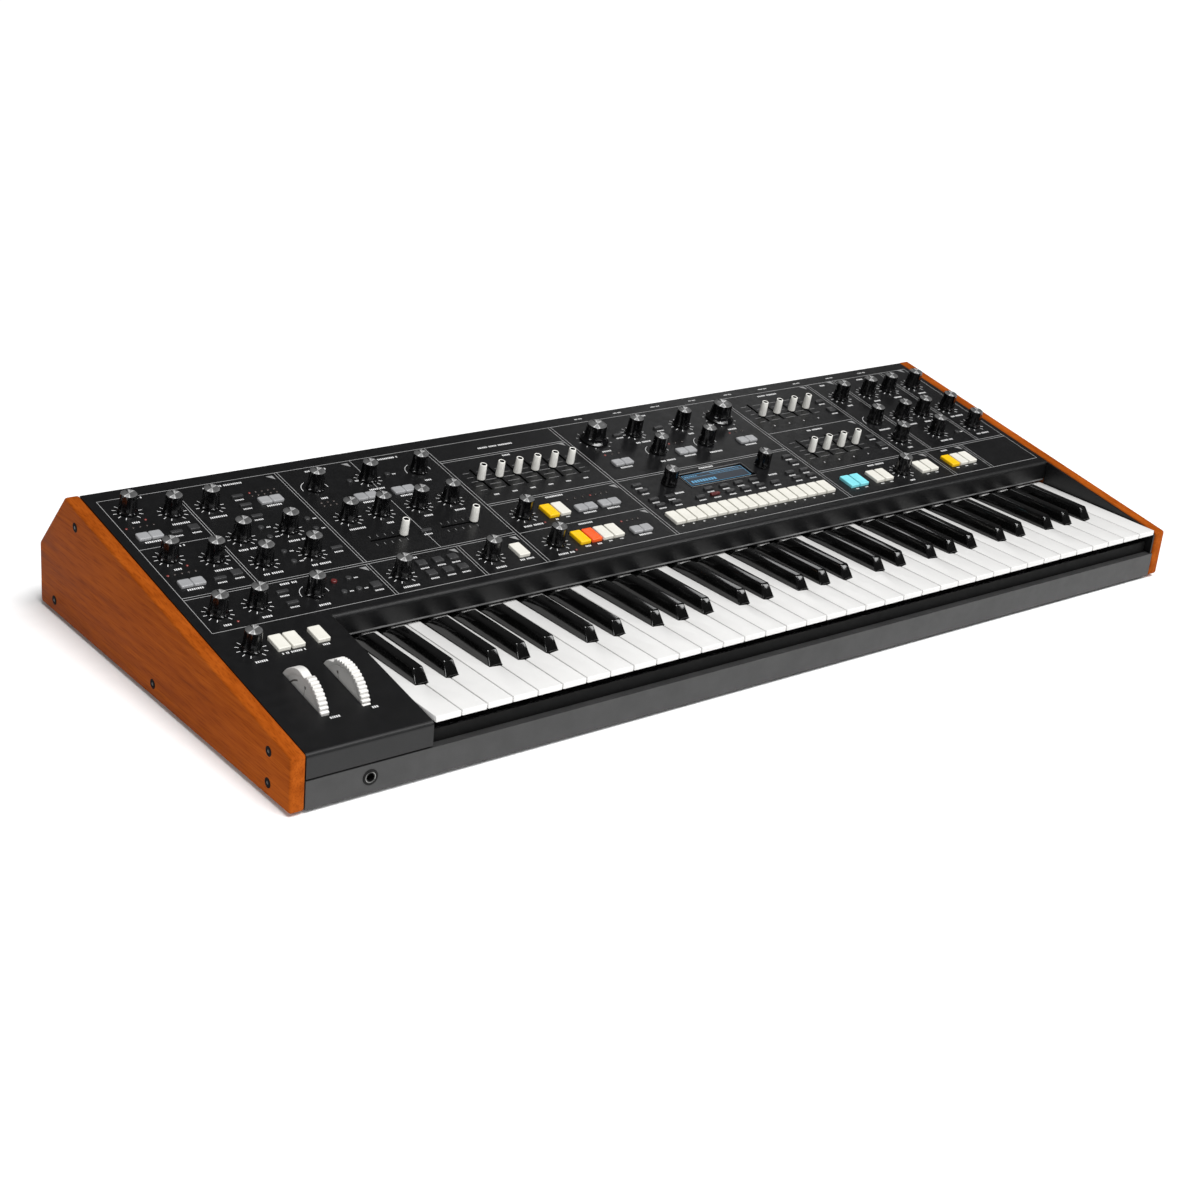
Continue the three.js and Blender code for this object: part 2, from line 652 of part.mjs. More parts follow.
function whiteKey(octaveX, note, comb, lastOfAll = false) {
  const left = octaveX + note * KEY_PITCH + KEY_GAP / 2;
  const right = left + KEY_PITCH - KEY_GAP;
  const [stemLeft, stemRight] = whiteStem(note, lastOfAll).map((x) => octaveX + x);
  const samePlace = 0.01;
  const outline = [
    [left, WHITE_FRONT_Y],
    [right, WHITE_FRONT_Y],
  ];
  if (right - stemRight > samePlace) {
    outline.push([right, WHITE_SLOT_FRONT], [stemRight, WHITE_SLOT_FRONT]);
  }
  outline.push([stemRight, WHITE_PLATE_END], [stemLeft, WHITE_PLATE_END]);
  if (stemLeft - left > samePlace) {
    outline.push([stemLeft, WHITE_SLOT_FRONT], [left, WHITE_SLOT_FRONT]);
  }
  const key = plate(outline, WHITE_TOP_Z - WHITE_PLATE, WHITE_TOP_Z);
  const bodyLeft = stemLeft + KEY_BODY_INSET;
  const bodyRight = stemRight - KEY_BODY_INSET;
  const body = box(bodyLeft, bodyRight, KEY_BODY_FRONT, comb.y1, KEY_BODY_BOTTOM_Z, KEY_BODY_TOP_Z);
  const pieces = [key, body];
  if (comb.z1 < KEY_BODY_BOTTOM_Z) {
    pieces.push(box(bodyLeft, bodyRight, comb.y0, comb.y1, comb.z0, KEY_BODY_BOTTOM_Z + 1));
  }
  return pieces;
}

// A black key: a tapered block with a sloped front and a sloped back, on a narrow tail.
function blackKey(centreX, comb) {
  const half = BLACK_WIDTH / 2;
  const topHalf = BLACK_TOP_WIDTH / 2;
  const bottomZ = 43;
  const frontTop = BLACK_FRONT_Y + 6;
  const rearTop = 126;
  const rearBottom = 142;
  const corners = [
    [centreX - half, BLACK_FRONT_Y, bottomZ],
    [centreX + half, BLACK_FRONT_Y, bottomZ],
    [centreX + half, rearBottom, bottomZ],
    [centreX - half, rearBottom, bottomZ],
    [centreX - topHalf, frontTop, BLACK_TOP_Z],
    [centreX + topHalf, frontTop, BLACK_TOP_Z],
    [centreX + topHalf, rearTop, BLACK_TOP_Z],
    [centreX - topHalf, rearTop, BLACK_TOP_Z],
  ];
  const quads = [
    [0, 3, 2, 1],
    [4, 5, 6, 7],
    [0, 1, 5, 4],
    [1, 2, 6, 5],
    [2, 3, 7, 6],
    [3, 0, 4, 7],
  ];
  const geometry = new THREE.BufferGeometry();
  geometry.setAttribute("position", new THREE.BufferAttribute(new Float32Array(corners.flat()), 3));
  geometry.setIndex(quads.flatMap(([a, b, c, d]) => [a, b, c, a, c, d]));
  const tailTop = comb.z0 + 0.5;
  const tailLeft = centreX - BLACK_TAIL_HALF;
  const tailRight = centreX + BLACK_TAIL_HALF;
  const tail = box(tailLeft, tailRight, rearTop - 6, comb.y1, bottomZ + 1, tailTop);
  return [geometry, tail];
}

function crossbar(x0, x1, comb) {
  return box(x0, x1, comb.y0, comb.y1, comb.z0, comb.z1);
}

function addCombs() {
  for (let octave = 0; octave < OCTAVES; octave++) {
    const octaveX = keyX(octave * WHITE_PER_OCTAVE * KEY_PITCH);
    const number = octave + 1;
    for (const [kind, notes, comb] of [
      ["c_e_g_b", OUTER_COMB, COMBS.outer],
      ["d_f_a", INNER_COMB, COMBS.inner],
    ]) {
      const first = octaveX + whiteStem(notes[0])[0] + KEY_BODY_INSET;
      const last = octaveX + whiteStem(notes[notes.length - 1])[1] - KEY_BODY_INSET;
      const pieces = notes.flatMap((note) => whiteKey(octaveX, note, comb));
      const made = join([...pieces, crossbar(first, last, comb)]);
      addNode(`white_keys_${kind}_octave_${number}`, geometryOf(made), KEY_WHITE());
    }
    const centres = BLACK_KEYS.map((key) => octaveX + blackCentre(key));
    const barEnds = [centres[0] - BLACK_TAIL_HALF, centres[centres.length - 1] + BLACK_TAIL_HALF];
    const blacks = centres.flatMap((x) => blackKey(x, COMBS.black));
    const made = join([...blacks, crossbar(...barEnds, COMBS.black)]);
    addNode(`black_keys_octave_${number}`, geometryOf(made), KEY_BLACK());
  }
  const topX = keyX(OCTAVES * WHITE_PER_OCTAVE * KEY_PITCH);
  addNode("white_key_top_c", geometryOf(join(whiteKey(topX, 0, COMBS.outer, true))), KEY_WHITE());
}

function addKeybed() {
  const left = KEY_LEFT + 2;
  const right = KEY_RIGHT - 2;
  const bottom = PAN_BOTTOM_Z + SHEET + GAP;
  const front = 18;
  const rear = 206;
  const floorTop = bottom + SHEET;
  const frontRailTop = 26;
  const floor = box(left, right, front, rear, bottom, floorTop);
  const frontRail = box(left, right, front, front + 8, bottom, frontRailTop);
  const rearRail = box(left, right, rear - 8, rear, bottom, KEY_BODY_TOP_Z + 2);
  addNode("keybed_frame", geometryOf(join([floor, frontRail, rearRail])), GREY_STEEL());
  const boardZ = floorTop + 3;
  const boardFront = 84;
  const boardRear = 150;
  const board = box(left + 4, right - 4, boardFront, boardRear, boardZ, boardZ + BOARD_THICKNESS);
  addNode("key_contact_board", board, BOARD_GREEN());
  const slipTop = 36.5; // the white keys, when they are down, stay above it
  const slipFront = 9;
  const slip = box(KEY_LEFT, KEY_RIGHT, slipFront, slipFront + SHEET, PAN_TOP_Z - 12, slipTop);
  addNode("key_slip", slip, BLACK_STEEL());
}

function addRightEndWall() {
  const x1 = INNER_X - GAP - 0.4;
  const wallTop = (y) => panelZ(y) - SHEET / Math.cos(SLOPE) - GAP;
  const open = LIP_Y - GAP;
  const outline = [
    [BLOCK_FRONT_Y + 1, PAN_TOP_Z + GAP],
    [open, PAN_TOP_Z + GAP],
    [open, panelZ(open)],
    [BLOCK_FRONT_Y + 4, panelZ(BLOCK_FRONT_Y + 4)],
    [BLOCK_FRONT_Y + 1, wallTop(BLOCK_FRONT_Y)],
  ];
  addNode("right_end_wall", profile(outline, x1 - SHEET, x1), BLACK_STEEL());
}

// ---------- wheels ----------
function wheel(notchAngle) {
  const sides = 36;
  const outline = [];
  const notchHalf = 0.12;
  const notchDepth = 2.4;
  for (let i = 0; i < sides; i++) {
    const angle = notchAngle + notchHalf + ((2 * Math.PI - 2 * notchHalf) * i) / (sides - 1);
    outline.push([WHEEL_RADIUS * Math.cos(angle), WHEEL_RADIUS * Math.sin(angle)]);
  }
  const inside = WHEEL_RADIUS - notchDepth;
  outline.push([inside * Math.cos(notchAngle), inside * Math.sin(notchAngle)]);
  const disc = solid(profile(outline, -WHEEL_WIDTH / 2, WHEEL_WIDTH / 2));
  const bore = barAlongX(0, 0, WHEEL_BORE_RADIUS, -WHEEL_WIDTH, WHEEL_WIDTH, 12);
  return geometryOf(cut(disc, [bore]));
}

const PITCH_NOTCH = Math.PI / 2 + SLOPE;
const MOD_NOTCH = PITCH_NOTCH - THREE.MathUtils.degToRad(34);

function addWheels() {
  const pitch = addNode("pitch_wheel", wheel(PITCH_NOTCH), CAP_WHITE());
  pitch.position.set(PITCH_WHEEL_X, WHEEL_CENTRE_Y, WHEEL_CENTRE_Z);
  const mod = addNode("mod_wheel", wheel(MOD_NOTCH), CAP_WHITE());
  mod.position.set(MOD_WHEEL_X, WHEEL_CENTRE_Y, WHEEL_CENTRE_Z);
}

function addWheelBracket() {
  const footBottom = PAN_BOTTOM_Z + SHEET + GAP;
  const plateZ = footBottom + SHEET;
  const halfDepth = 14;
  const sideTop = WHEEL_CENTRE_Z + 7;
  const margin = 9;
  const left = PITCH_WHEEL_X - WHEEL_WIDTH / 2 - margin;
  const right = MOD_WHEEL_X + WHEEL_WIDTH / 2 + margin;
  const y0 = WHEEL_CENTRE_Y - halfDepth;
  const y1 = WHEEL_CENTRE_Y + halfDepth;
  const base = box(left, right, y0, y1, footBottom, plateZ);
  const leftSide = box(left, left + SHEET, y0, y1, footBottom, sideTop);
  const rightSide = box(right - SHEET, right, y0, y1, footBottom, sideTop);
  const axle = barAlongX(WHEEL_CENTRE_Y, WHEEL_CENTRE_Z, AXLE_RADIUS, left + 0.5, right - 0.5, 10);
  addNode("wheel_bracket", geometryOf(join([base, leftSide, rightSide, axle])), GREY_STEEL());
}

// ---------- controls ----------
const KNOB_SIDES = 10;
const BOARD_TOP = -BOARD_DEPTH;

function addControlBoard() {
  const left = -INNER_X + 6;
  const right = INNER_X - 6;
  const front = upSlope(LIP_Y) + 9;
  const rear = upSlope(CHEEK_TOP_Y) - 16;
  const blockRight = KEY_LEFT - 8;
  const blockFront = ROW.glide - 14;
  const outline = [
    [left, blockFront],
    [blockRight, blockFront],
    [blockRight, front],
    [right, front],
    [right, rear],
    [left, rear],
  ];
  const pieces = [plate(outline, BOARD_TOP - BOARD_THICKNESS, BOARD_TOP)];
  const root = BOARD_TOP - BOARD_THICKNESS / 2;
  for (const [, x, v] of FIXED_KNOBS) {
    pieces.push(bar(keyX(x), v, SHAFT_RADIUS, SHAFT_RADIUS, root, KNOB_LIFT + 1, 4));
    pieces.push(bar(keyX(x), v, KNOB_RADIUS, KNOB_RADIUS - 1, KNOB_LIFT, KNOB_HEIGHT, KNOB_SIDES));
  }
  for (const slotV of ENVELOPE_SLOTS) {
    for (let i = 0; i < ENVELOPE_FADERS; i++) {
      const x = keyX(ENVELOPE_X + i * MIXER_PITCH);
      const v = slotV + ENVELOPE_REST;
      pieces.push(centredBox(x, v, FADER_STEM_WIDTH, FADER_STEM_DEPTH, root, KNOB_LIFT + 1));
      pieces.push(bar(x, v, FADER_RADIUS, FADER_RADIUS - 0.6, KNOB_LIFT, FADER_HEIGHT, 6));
    }
  }
  const secondMix = keyX(WAVE_MIX_X[1]) + FADER_TRAVEL / 2;
  pieces.push(centredBox(secondMix, WAVE_MIX_V, FADER_STEM_DEPTH, FADER_STEM_WIDTH, root, KNOB_LIFT + 1));
  pieces.push(bar(secondMix, WAVE_MIX_V, FADER_RADIUS, FADER_RADIUS - 0.6, KNOB_LIFT, FADER_HEIGHT, 6));
  for (const [x, count, v] of FIXED_BUTTON_GROUPS) {
    for (let i = 0; i < count; i++) {
      const centre = keyX(x + i * BUTTON_PITCH);
      pieces.push(centredBox(centre, v, BUTTON_WIDTH, BUTTON_LENGTH, root, BUTTON_HEIGHT));
    }
  }
  for (const [x, v] of BUTTON_PAIRS) {
    for (const side of [-1, 1]) {
      const centre = keyX(x) + (side * PAIR_BUTTON_PITCH) / 2;
      pieces.push(centredBox(centre, v, PAIR_BUTTON_WIDTH, PAIR_BUTTON_LENGTH, root, BUTTON_HEIGHT - 0.6));
    }
  }
  addNode("control_board", geometryOf(join(pieces)), BOARD_GREEN(), panelGroup);
}

function addMovingKnobs() {
  const shaftBottom = BOARD_TOP + GAP;
  for (const [name, x, v, radius] of MOVING_KNOBS) {
    const shaft = bar(0, 0, SHAFT_RADIUS, SHAFT_RADIUS, shaftBottom, KNOB_LIFT + 1, 8);
    const body = bar(0, 0, radius, radius * 0.86, KNOB_LIFT, KNOB_HEIGHT, 16);
    const mesh = addNode(name, geometryOf(join([shaft, body])), KNOB_BLACK(), panelGroup);
    mesh.position.set(keyX(x), v, 0);
  }
}

function faderCap(stemAcross, stemAlong) {
  const stem = centredBox(0, 0, stemAcross, stemAlong, BOARD_TOP + GAP, KNOB_LIFT + 1);
  const cap = bar(0, 0, FADER_RADIUS, FADER_RADIUS - 0.6, KNOB_LIFT, FADER_HEIGHT, 12);
  return geometryOf(join([stem, cap]));
}

function addMovingFaders() {
  for (let i = 0; i < MIXER_FADERS; i++) {
    const cap = faderCap(FADER_STEM_WIDTH, FADER_STEM_DEPTH);
    const mesh = addNode(`mixer_fader_${i + 1}`, cap, CAP_WHITE(), panelGroup);
    mesh.position.set(keyX(MIXER_X + i * MIXER_PITCH), MIXER_V, 0);
  }
  const waveCap = faderCap(FADER_STEM_DEPTH, FADER_STEM_WIDTH);
  const wave = addNode("wave_mix_fader", waveCap, CAP_WHITE(), panelGroup);
  wave.position.set(keyX(WAVE_MIX_X[0]) + FADER_TRAVEL / 2, WAVE_MIX_V, 0);
}

function addMovingButtons() {
  for (const [name, x, v, colour] of MOVING_BUTTONS) {
    const cap = centredBox(0, 0, BUTTON_WIDTH, BUTTON_LENGTH, -SHEET - 1, BUTTON_HEIGHT);
    const stem = centredBox(0, 0, 4, 4, BOARD_TOP + 2, -SHEET);
    const mesh = addNode(name, geometryOf(join([cap, stem])), BUTTON_COLOURS[colour](), panelGroup);
    mesh.position.set(keyX(x), v, 0);
  }
}

function addDisplay() {
  const width = DISPLAY.width - 2 * GAP;
  const height = DISPLAY.height - 2 * GAP;
  const glass = centredBox(keyX(DISPLAY.x), DISPLAY.v, width, height, -SHEET - 2, -GAP);
  addNode("display_window", glass, GLASS(), panelGroup);
}

// ---------- inside and underneath ----------
function addElectronics() {
  const floorTop = PAN_BOTTOM_Z + SHEET;
  const rear = 380;
  const standoff = 8;
  const boardZ = floorTop + standoff;
  const boardDepth = 160;
  const board = box(-60, 300, rear - boardDepth, rear, boardZ, boardZ + BOARD_THICKNESS);
  addNode("main_board", board, BOARD_GREEN());
  const supplyBottom = floorTop + GAP;
  const supplyDepth = 150;
  const supplyHeight = 36;
  const supply = box(-440, -330, rear - supplyDepth, rear, supplyBottom, supplyBottom + supplyHeight);
  addNode("power_supply", supply, GREY_STEEL());
}

function addFeet() {
  const radius = 9;
  const inset = 60;
  const x = CASE_WIDTH / 2 - inset;
  const rows = { front: 40, rear: 375 };
  const sides = { left: -x, right: x };
  for (const [row, footY] of Object.entries(rows)) {
    for (const [side, footX] of Object.entries(sides)) {
      addNode(`${row}_${side}_foot`, bar(footX, footY, radius - 1, radius, 0, FOOT_HEIGHT, 14), RUBBER());
    }
  }
}

addCheeks();
addTopPanel();
addBottomPan();
addHeadphoneJack();
addRearPanel();
addJackBoard();
addPowerInlet();
addCombs();
addKeybed();
addRightEndWall();
addWheels();
addWheelBracket();
addControlBoard();
addMovingKnobs();
addMovingFaders();
addMovingButtons();
addDisplay();
addElectronics();
addFeet();

export default synthesizer;
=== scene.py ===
"""Looks of a 61-key analogue synthesizer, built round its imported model.

Controls are laid out on the sloping panel as (x, v): x runs across from the lowest key's left side and v runs
up the slope from the case's front, both in millimetres. Shapes are built in millimetres and stored in metres.
"""

import json
import math

import bmesh
import bpy
from mathutils import Matrix, Vector


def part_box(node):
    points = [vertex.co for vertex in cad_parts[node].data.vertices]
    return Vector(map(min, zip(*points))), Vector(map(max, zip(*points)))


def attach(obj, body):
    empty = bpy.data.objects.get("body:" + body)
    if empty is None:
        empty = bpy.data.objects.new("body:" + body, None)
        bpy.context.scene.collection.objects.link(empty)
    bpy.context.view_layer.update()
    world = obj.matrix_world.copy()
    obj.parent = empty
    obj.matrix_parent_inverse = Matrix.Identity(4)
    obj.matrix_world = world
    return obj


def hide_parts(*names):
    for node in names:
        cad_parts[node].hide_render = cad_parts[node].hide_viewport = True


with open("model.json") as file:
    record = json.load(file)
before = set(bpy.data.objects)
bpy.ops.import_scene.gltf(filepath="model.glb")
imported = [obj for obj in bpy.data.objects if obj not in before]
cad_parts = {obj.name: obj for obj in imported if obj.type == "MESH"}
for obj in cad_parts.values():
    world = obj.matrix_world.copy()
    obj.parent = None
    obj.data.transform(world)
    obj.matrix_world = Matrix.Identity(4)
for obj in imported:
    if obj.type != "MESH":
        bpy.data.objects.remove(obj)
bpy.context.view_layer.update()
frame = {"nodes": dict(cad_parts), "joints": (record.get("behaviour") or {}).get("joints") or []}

# ---------- the frame's own places, in millimetres ----------
MM = 0.001
joints = {joint["name"]: joint for joint in frame["joints"]}
tempo_shaft = joints["tempo_knob_shaft"]
NORMAL = Vector(tempo_shaft["axis"]).normalized()
SLOPE = math.atan2(-NORMAL.y, NORMAL.z)
KEY_GAP = 1.0
KEY_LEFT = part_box("white_keys_c_e_g_b_octave_1")[0].x / MM - KEY_GAP / 2
FRONT_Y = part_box("left_cheek")[0].y / MM
tempo_point = Vector(tempo_shaft["pos_m"]) / MM
PANEL_Z = tempo_point.z - (tempo_point.y - FRONT_Y) * math.tan(SLOPE)
CASE = Matrix.Translation((0, FRONT_Y, 0))
PANEL = Matrix.Translation((KEY_LEFT, FRONT_Y, PANEL_Z)) @ Matrix.Rotation(SLOPE, 4, "X")
IDENTITY = Matrix.Identity(4)

# ---------- dimensions ----------
KEY_PITCH = 23.5
OCTAVES = 5
WHITE_PER_OCTAVE = 7
WHITE_TOP_Z = 51.6
WHITE_PLATE = 4.6
WHITE_SLOT_FRONT = 50.4
WHITE_END = 149.5
BLACK_FRONT_Y = 51.7
BLACK_TOP_Z = 63.0
BLACK_BOTTOM_Z = 43.0
BLACK_WIDTH = 12.4
BLACK_TOP_WIDTH = 9.0
BLACK_SLOT = 14.0
BLACK_KEYS = ((1, -2.2), (2, 2.2), (4, -4.0), (5, 0.0), (6, 4.0))

FADER_TRAVEL = 30.0
BUTTON_PITCH = 12.5
INK_BOTTOM = 0.01
INK_HEIGHT = 0.06
LINE_WIDTH = 0.42


def up_slope(y):
    return y / math.cos(SLOPE)


ROW_TOP = up_slope(319.5)
ROW_ENVELOPE = up_slope(283.3)
ROW_SECOND = up_slope(268)
ROW_THIRD = up_slope(230.5)
ROW_ARPEGGIO = up_slope(225.6)
ROW_BOTTOM = up_slope(178.2)
ROW_GLIDE = up_slope(127.8)
LFO_RATE_X = -83.2
LFO_SHAPE_X = -49.0
FIXED_KNOBS = (
    (LFO_RATE_X, up_slope(331.4)), (LFO_SHAPE_X, ROW_TOP), (LFO_RATE_X, up_slope(259.1)),
    (LFO_SHAPE_X, up_slope(247.6)), (LFO_RATE_X, ROW_BOTTOM), (LFO_SHAPE_X, ROW_BOTTOM),
    (2.2, ROW_BOTTOM), (-15, ROW_TOP), (-14, ROW_SECOND), (30, ROW_SECOND), (-14, ROW_THIRD),
    (30, ROW_THIRD), (85.5, ROW_TOP), (138.5, ROW_TOP), (191.2, ROW_TOP), (87.3, ROW_SECOND),
    (119.5, ROW_SECOND), (158.2, ROW_SECOND), (190.8, ROW_SECOND), (83.5, ROW_BOTTOM),
    (240, ROW_ARPEGGIO), (241, ROW_BOTTOM), (437.4, ROW_TOP), (439.3, ROW_ENVELOPE), (497.5, ROW_TOP),
    (499.6, ROW_ENVELOPE), (715, ROW_TOP), (715.6, ROW_SECOND), (715.6, ROW_THIRD), (754.8, ROW_TOP),
    (785.5, ROW_TOP), (755.2, ROW_SECOND), (785.5, ROW_SECOND), (769.5, ROW_THIRD), (823.4, ROW_SECOND),
    (823.8, ROW_THIRD), (666.7, ROW_BOTTOM),
)
LARGE = "large"
SMALL = "small"
ENCODER = "encoder"
MOVING_KNOBS = (
    ("cutoff_knob_1", 389.3, ROW_TOP, LARGE),
    ("cutoff_knob_2", 547.1, ROW_TOP, LARGE),
    ("select_encoder", 410, ROW_THIRD, ENCODER),
    ("value_encoder", 526.5, ROW_THIRD, ENCODER),
    ("glide_knob", -82.2, ROW_GLIDE, SMALL),
    ("tempo_knob", 172.4, ROW_BOTTOM, SMALL),
    ("master_volume_knob", 822.5, ROW_TOP, SMALL),
)
MIXER_FADERS = 6
MIXER_X = 238.0
FADER_PITCH = 20.0
MIXER_V = up_slope(289.4)
ENVELOPE_FADERS = 4
ENVELOPE_X = 598.0
ENVELOPE_SLOTS = (up_slope(318), up_slope(243.4))
ENVELOPE_REST = -6.0
WAVE_MIX_X = (104.0, 175.4)
WAVE_MIX_V = up_slope(231)
BUTTON_ROW = ROW_BOTTOM
ARP_BUTTON_ROW = up_slope(223.8)
BLOCK_BUTTON_ROW = up_slope(127.1)
MOVING_BUTTONS = (
    ("octave_down_button", -59, BLOCK_BUTTON_ROW, "white_cap"),
    ("octave_up_button", -46.5, BLOCK_BUTTON_ROW, "white_cap"),
    ("hold_button", -24.6, BLOCK_BUTTON_ROW, "white_cap"),
    ("tap_tempo_button", 201.6, BUTTON_ROW, "white_cap"),
    ("arpeggio_button", 266.6, ARP_BUTTON_ROW, "yellow_cap"),
    ("sequencer_play_button", 267, BUTTON_ROW, "yellow_cap"),
    ("sequencer_record_button", 279.5, BUTTON_ROW, "orange_cap"),
)
WHITE, CYAN, YELLOW = "white_cap", "cyan_cap", "yellow_cap"
FIXED_BUTTON_GROUPS = (
    (279.1, ARP_BUTTON_ROW, (WHITE,)),
    (292, BUTTON_ROW, (WHITE, WHITE)),
    (374.9, BUTTON_ROW, (WHITE,) * 16),
    (594.6, BUTTON_ROW, (CYAN, CYAN)),
    (629, BUTTON_ROW, (WHITE, WHITE)),
    (692.9, BUTTON_ROW, (WHITE, WHITE)),
    (736.3, BUTTON_ROW, (YELLOW, WHITE, WHITE)),
)
PAIR_PITCH = 11.0
BUTTON_PAIRS = (
    (-83, up_slope(292.6)),
    (-83, up_slope(221.4)),
    (38.6, up_slope(313.4)),
    (121, up_slope(294)),
    (159, up_slope(294)),
    (304, up_slope(219.4)),
    (330.6, up_slope(219.4)),
    (331, up_slope(172.9)),
    (390, up_slope(276)),
    (468, up_slope(276)),
    (546, up_slope(276)),
)
FLAT_BUTTONS = (
    (14, 326.5), (14, 312), (14.4, 293.8), (-22, 187.4), (-22, 171.4), (53, 230.4), (-60, 291.4), (-59, 220),
    (141, 230.4), (418.6, 321), (469.4, 321.4), (684, 319), (685, 243.4),
    (376, 237), (376, 227), (376, 211.4), (376, 201.4), (395, 211.4), (395, 201.4),
    (442, 211.4), (461, 211.4), (479.5, 211.4), (498, 211.4),
    (424, 201.4), (461, 201.4), (479.5, 201.4), (498, 201.4), (517.5, 201.4),
    (545.5, 211.4), (545.5, 201.4), (564, 237), (564, 227), (564, 211.4), (564, 201.4),
)
LIT_BUTTON = (442, 201.4)
SQUARE_BUTTONS = (
    (-43.4, 293.8), (-43, 223.4), (55, 172.4), (108.6, 187.8), (125, 187.8), (139.6, 187.8),
    (108.6, 172.4), (125, 172.4), (139.6, 172.4), (684.4, 301), (685, 227),
)
ROUND_BUTTONS = (
    (8.6, 276.4), (8.6, 261.4), (8.6, 238.4), (9, 223), (52.6, 277), (52, 261.4),
    (38.4, 187.4), (25, 171.4), (38.6, 171.4), (120.4, 320.4), (159, 321), (793, 223.4),
)
LIT_ROUND_BUTTON = (25, 187.4)
DISPLAY_X, DISPLAY_V = 468.0, up_slope(229.8)
DISPLAY_WIDTH, DISPLAY_HEIGHT = 79.0, 22.0


# ---------- pieces ----------
class Piece:
    """Faces collected in millimetres, which become one object."""

    def __init__(self, name):
        self.name = name
        self.points = []
        self.faces = []
        self.face_materials = []
        self.face_uvs = []
        self.materials = []

    def slot_of(self, material):
        if material not in self.materials:
            self.materials.append(material)
        return self.materials.index(material)

    def add(self, points, faces, material, place=IDENTITY, uvs=None):
        start = len(self.points)
        self.points.extend(place @ Vector(point) for point in points)
        slot = self.slot_of(material)
        for number, face in enumerate(faces):
            self.faces.append([start + index for index in face])
            self.face_materials.append(slot)
            self.face_uvs.append(uvs[number] if uvs else [(0.0, 0.0)] * len(face))

    def absorb(self, shape, material, place=IDENTITY):
        shape.verts.index_update()
        faces = [[v.index for v in face.verts] for face in shape.faces]
        self.add([v.co for v in shape.verts], faces, material, place)
        shape.free()

    def build(self, body, slot, *replaced, sharp=35):
        mesh = bpy.data.meshes.new(self.name)
        mesh.from_pydata([point * MM for point in self.points], [], self.faces)
        for material in self.materials:
            mesh.materials.append(material)
        mesh.polygons.foreach_set("material_index", self.face_materials)
        mesh.polygons.foreach_set("use_smooth", [True] * len(self.faces))
        uv_layer = mesh.uv_layers.new(name="UVMap")
        flat = [number for uvs in self.face_uvs for uv in uvs for number in uv]
        uv_layer.data.foreach_set("uv", flat)
        mesh.update()
        mesh.set_sharp_from_angle(angle=math.radians(sharp))
        piece = bpy.data.objects.new(self.name, mesh)
        bpy.context.scene.collection.objects.link(piece)
        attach(piece, body)
        if replaced:
            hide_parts(*replaced)
        return piece


def loft(piece, rings, material, place=IDENTITY, bottom=True, top=True):
    """Skins a list of rings with the same number of points, each counter-clockwise seen from above."""
    count = len(rings[0])
    points = [point for ring in rings for point in ring]
    faces = []
    for level in range(len(rings) - 1):
        low, high = level * count, (level + 1) * count
        for i in range(count):
            j = (i + 1) % count
            faces.append((low + i, low + j, high + j, high + i))
    if bottom:
        faces.append(tuple(reversed(range(count))))
    if top:
        faces.append(tuple(range(len(points) - count, len(points))))
    piece.add(points, faces, material, place)


def round_ring(radius, z, sides, x=0.0, y=0.0, wave=None):
    ring = []
    for i in range(sides):
        angle = 2 * math.pi * i / sides
        reach = radius + (wave(angle) if wave else 0.0)
        ring.append((x + reach * math.cos(angle), y + reach * math.sin(angle), z))
    return ring


def turned(piece, outline, sides, material, place=IDENTITY, x=0.0, y=0.0, bottom=False, top=True):
    """A round shape from an outline of (radius, z)."""
    rings = [round_ring(radius, z, sides, x, y) for radius, z in outline]
    loft(piece, rings, material, place, bottom, top)


def pad_ring(width, length, corner, z, x=0.0, y=0.0, steps=3):
    """A rectangle with rounded corners."""
    ring = []
    corner = min(corner, width / 2 - 0.01, length / 2 - 0.01)
    for quarter, (sx, sy) in enumerate(((1, 1), (-1, 1), (-1, -1), (1, -1))):
        cx, cy = x + sx * (width / 2 - corner), y + sy * (length / 2 - corner)
        for step in range(steps + 1):
            angle = math.pi / 2 * (quarter + step / steps)
            ring.append((cx + corner * math.cos(angle), cy + corner * math.sin(angle), z))
    return ring


def pad(piece, x, y, width, length, z0, z1, corner, edge, material, place=IDENTITY, dish=0.0):
    """A moulded cap: rounded corners, a rounded top edge, and a top that may be dished."""
    rings = [pad_ring(width, length, corner, z0, x, y)]
    steps = 3
    for step in range(steps + 1):
        angle = math.pi / 2 * step / steps
        inset = edge * (1 - math.cos(angle))
        z = z1 - edge + edge * math.sin(angle)
        rings.append(pad_ring(width - 2 * inset, length - 2 * inset, corner, z, x, y))
    if dish:
        rings.append(pad_ring(width - 5 * edge, length - 5 * edge, corner, z1 - dish, x, y))
    loft(piece, rings, material, place)


def bevelled(shape, edge, segments, chosen=None):
    edges = [e for e in shape.edges if chosen is None or chosen(e)]
    bmesh.ops.bevel(
        shape, geom=edges, offset=edge, segments=segments, profile=0.5, affect="EDGES", clamp_overlap=True
    )
    return shape


def slab(piece, x0, x1, y0, y1, z0, z1, material, place=IDENTITY, edge=0.0, segments=2):
    """A box with bevelled edges."""
    shape = bmesh.new()
    bmesh.ops.create_cube(shape, size=1.0)
    size = Matrix.Diagonal((x1 - x0, y1 - y0, z1 - z0, 1.0))
    shape.transform(Matrix.Translation(((x0 + x1) / 2, (y0 + y1) / 2, (z0 + z1) / 2)) @ size)
    if edge:
        bevelled(shape, edge, segments)
    piece.absorb(shape, material, place)


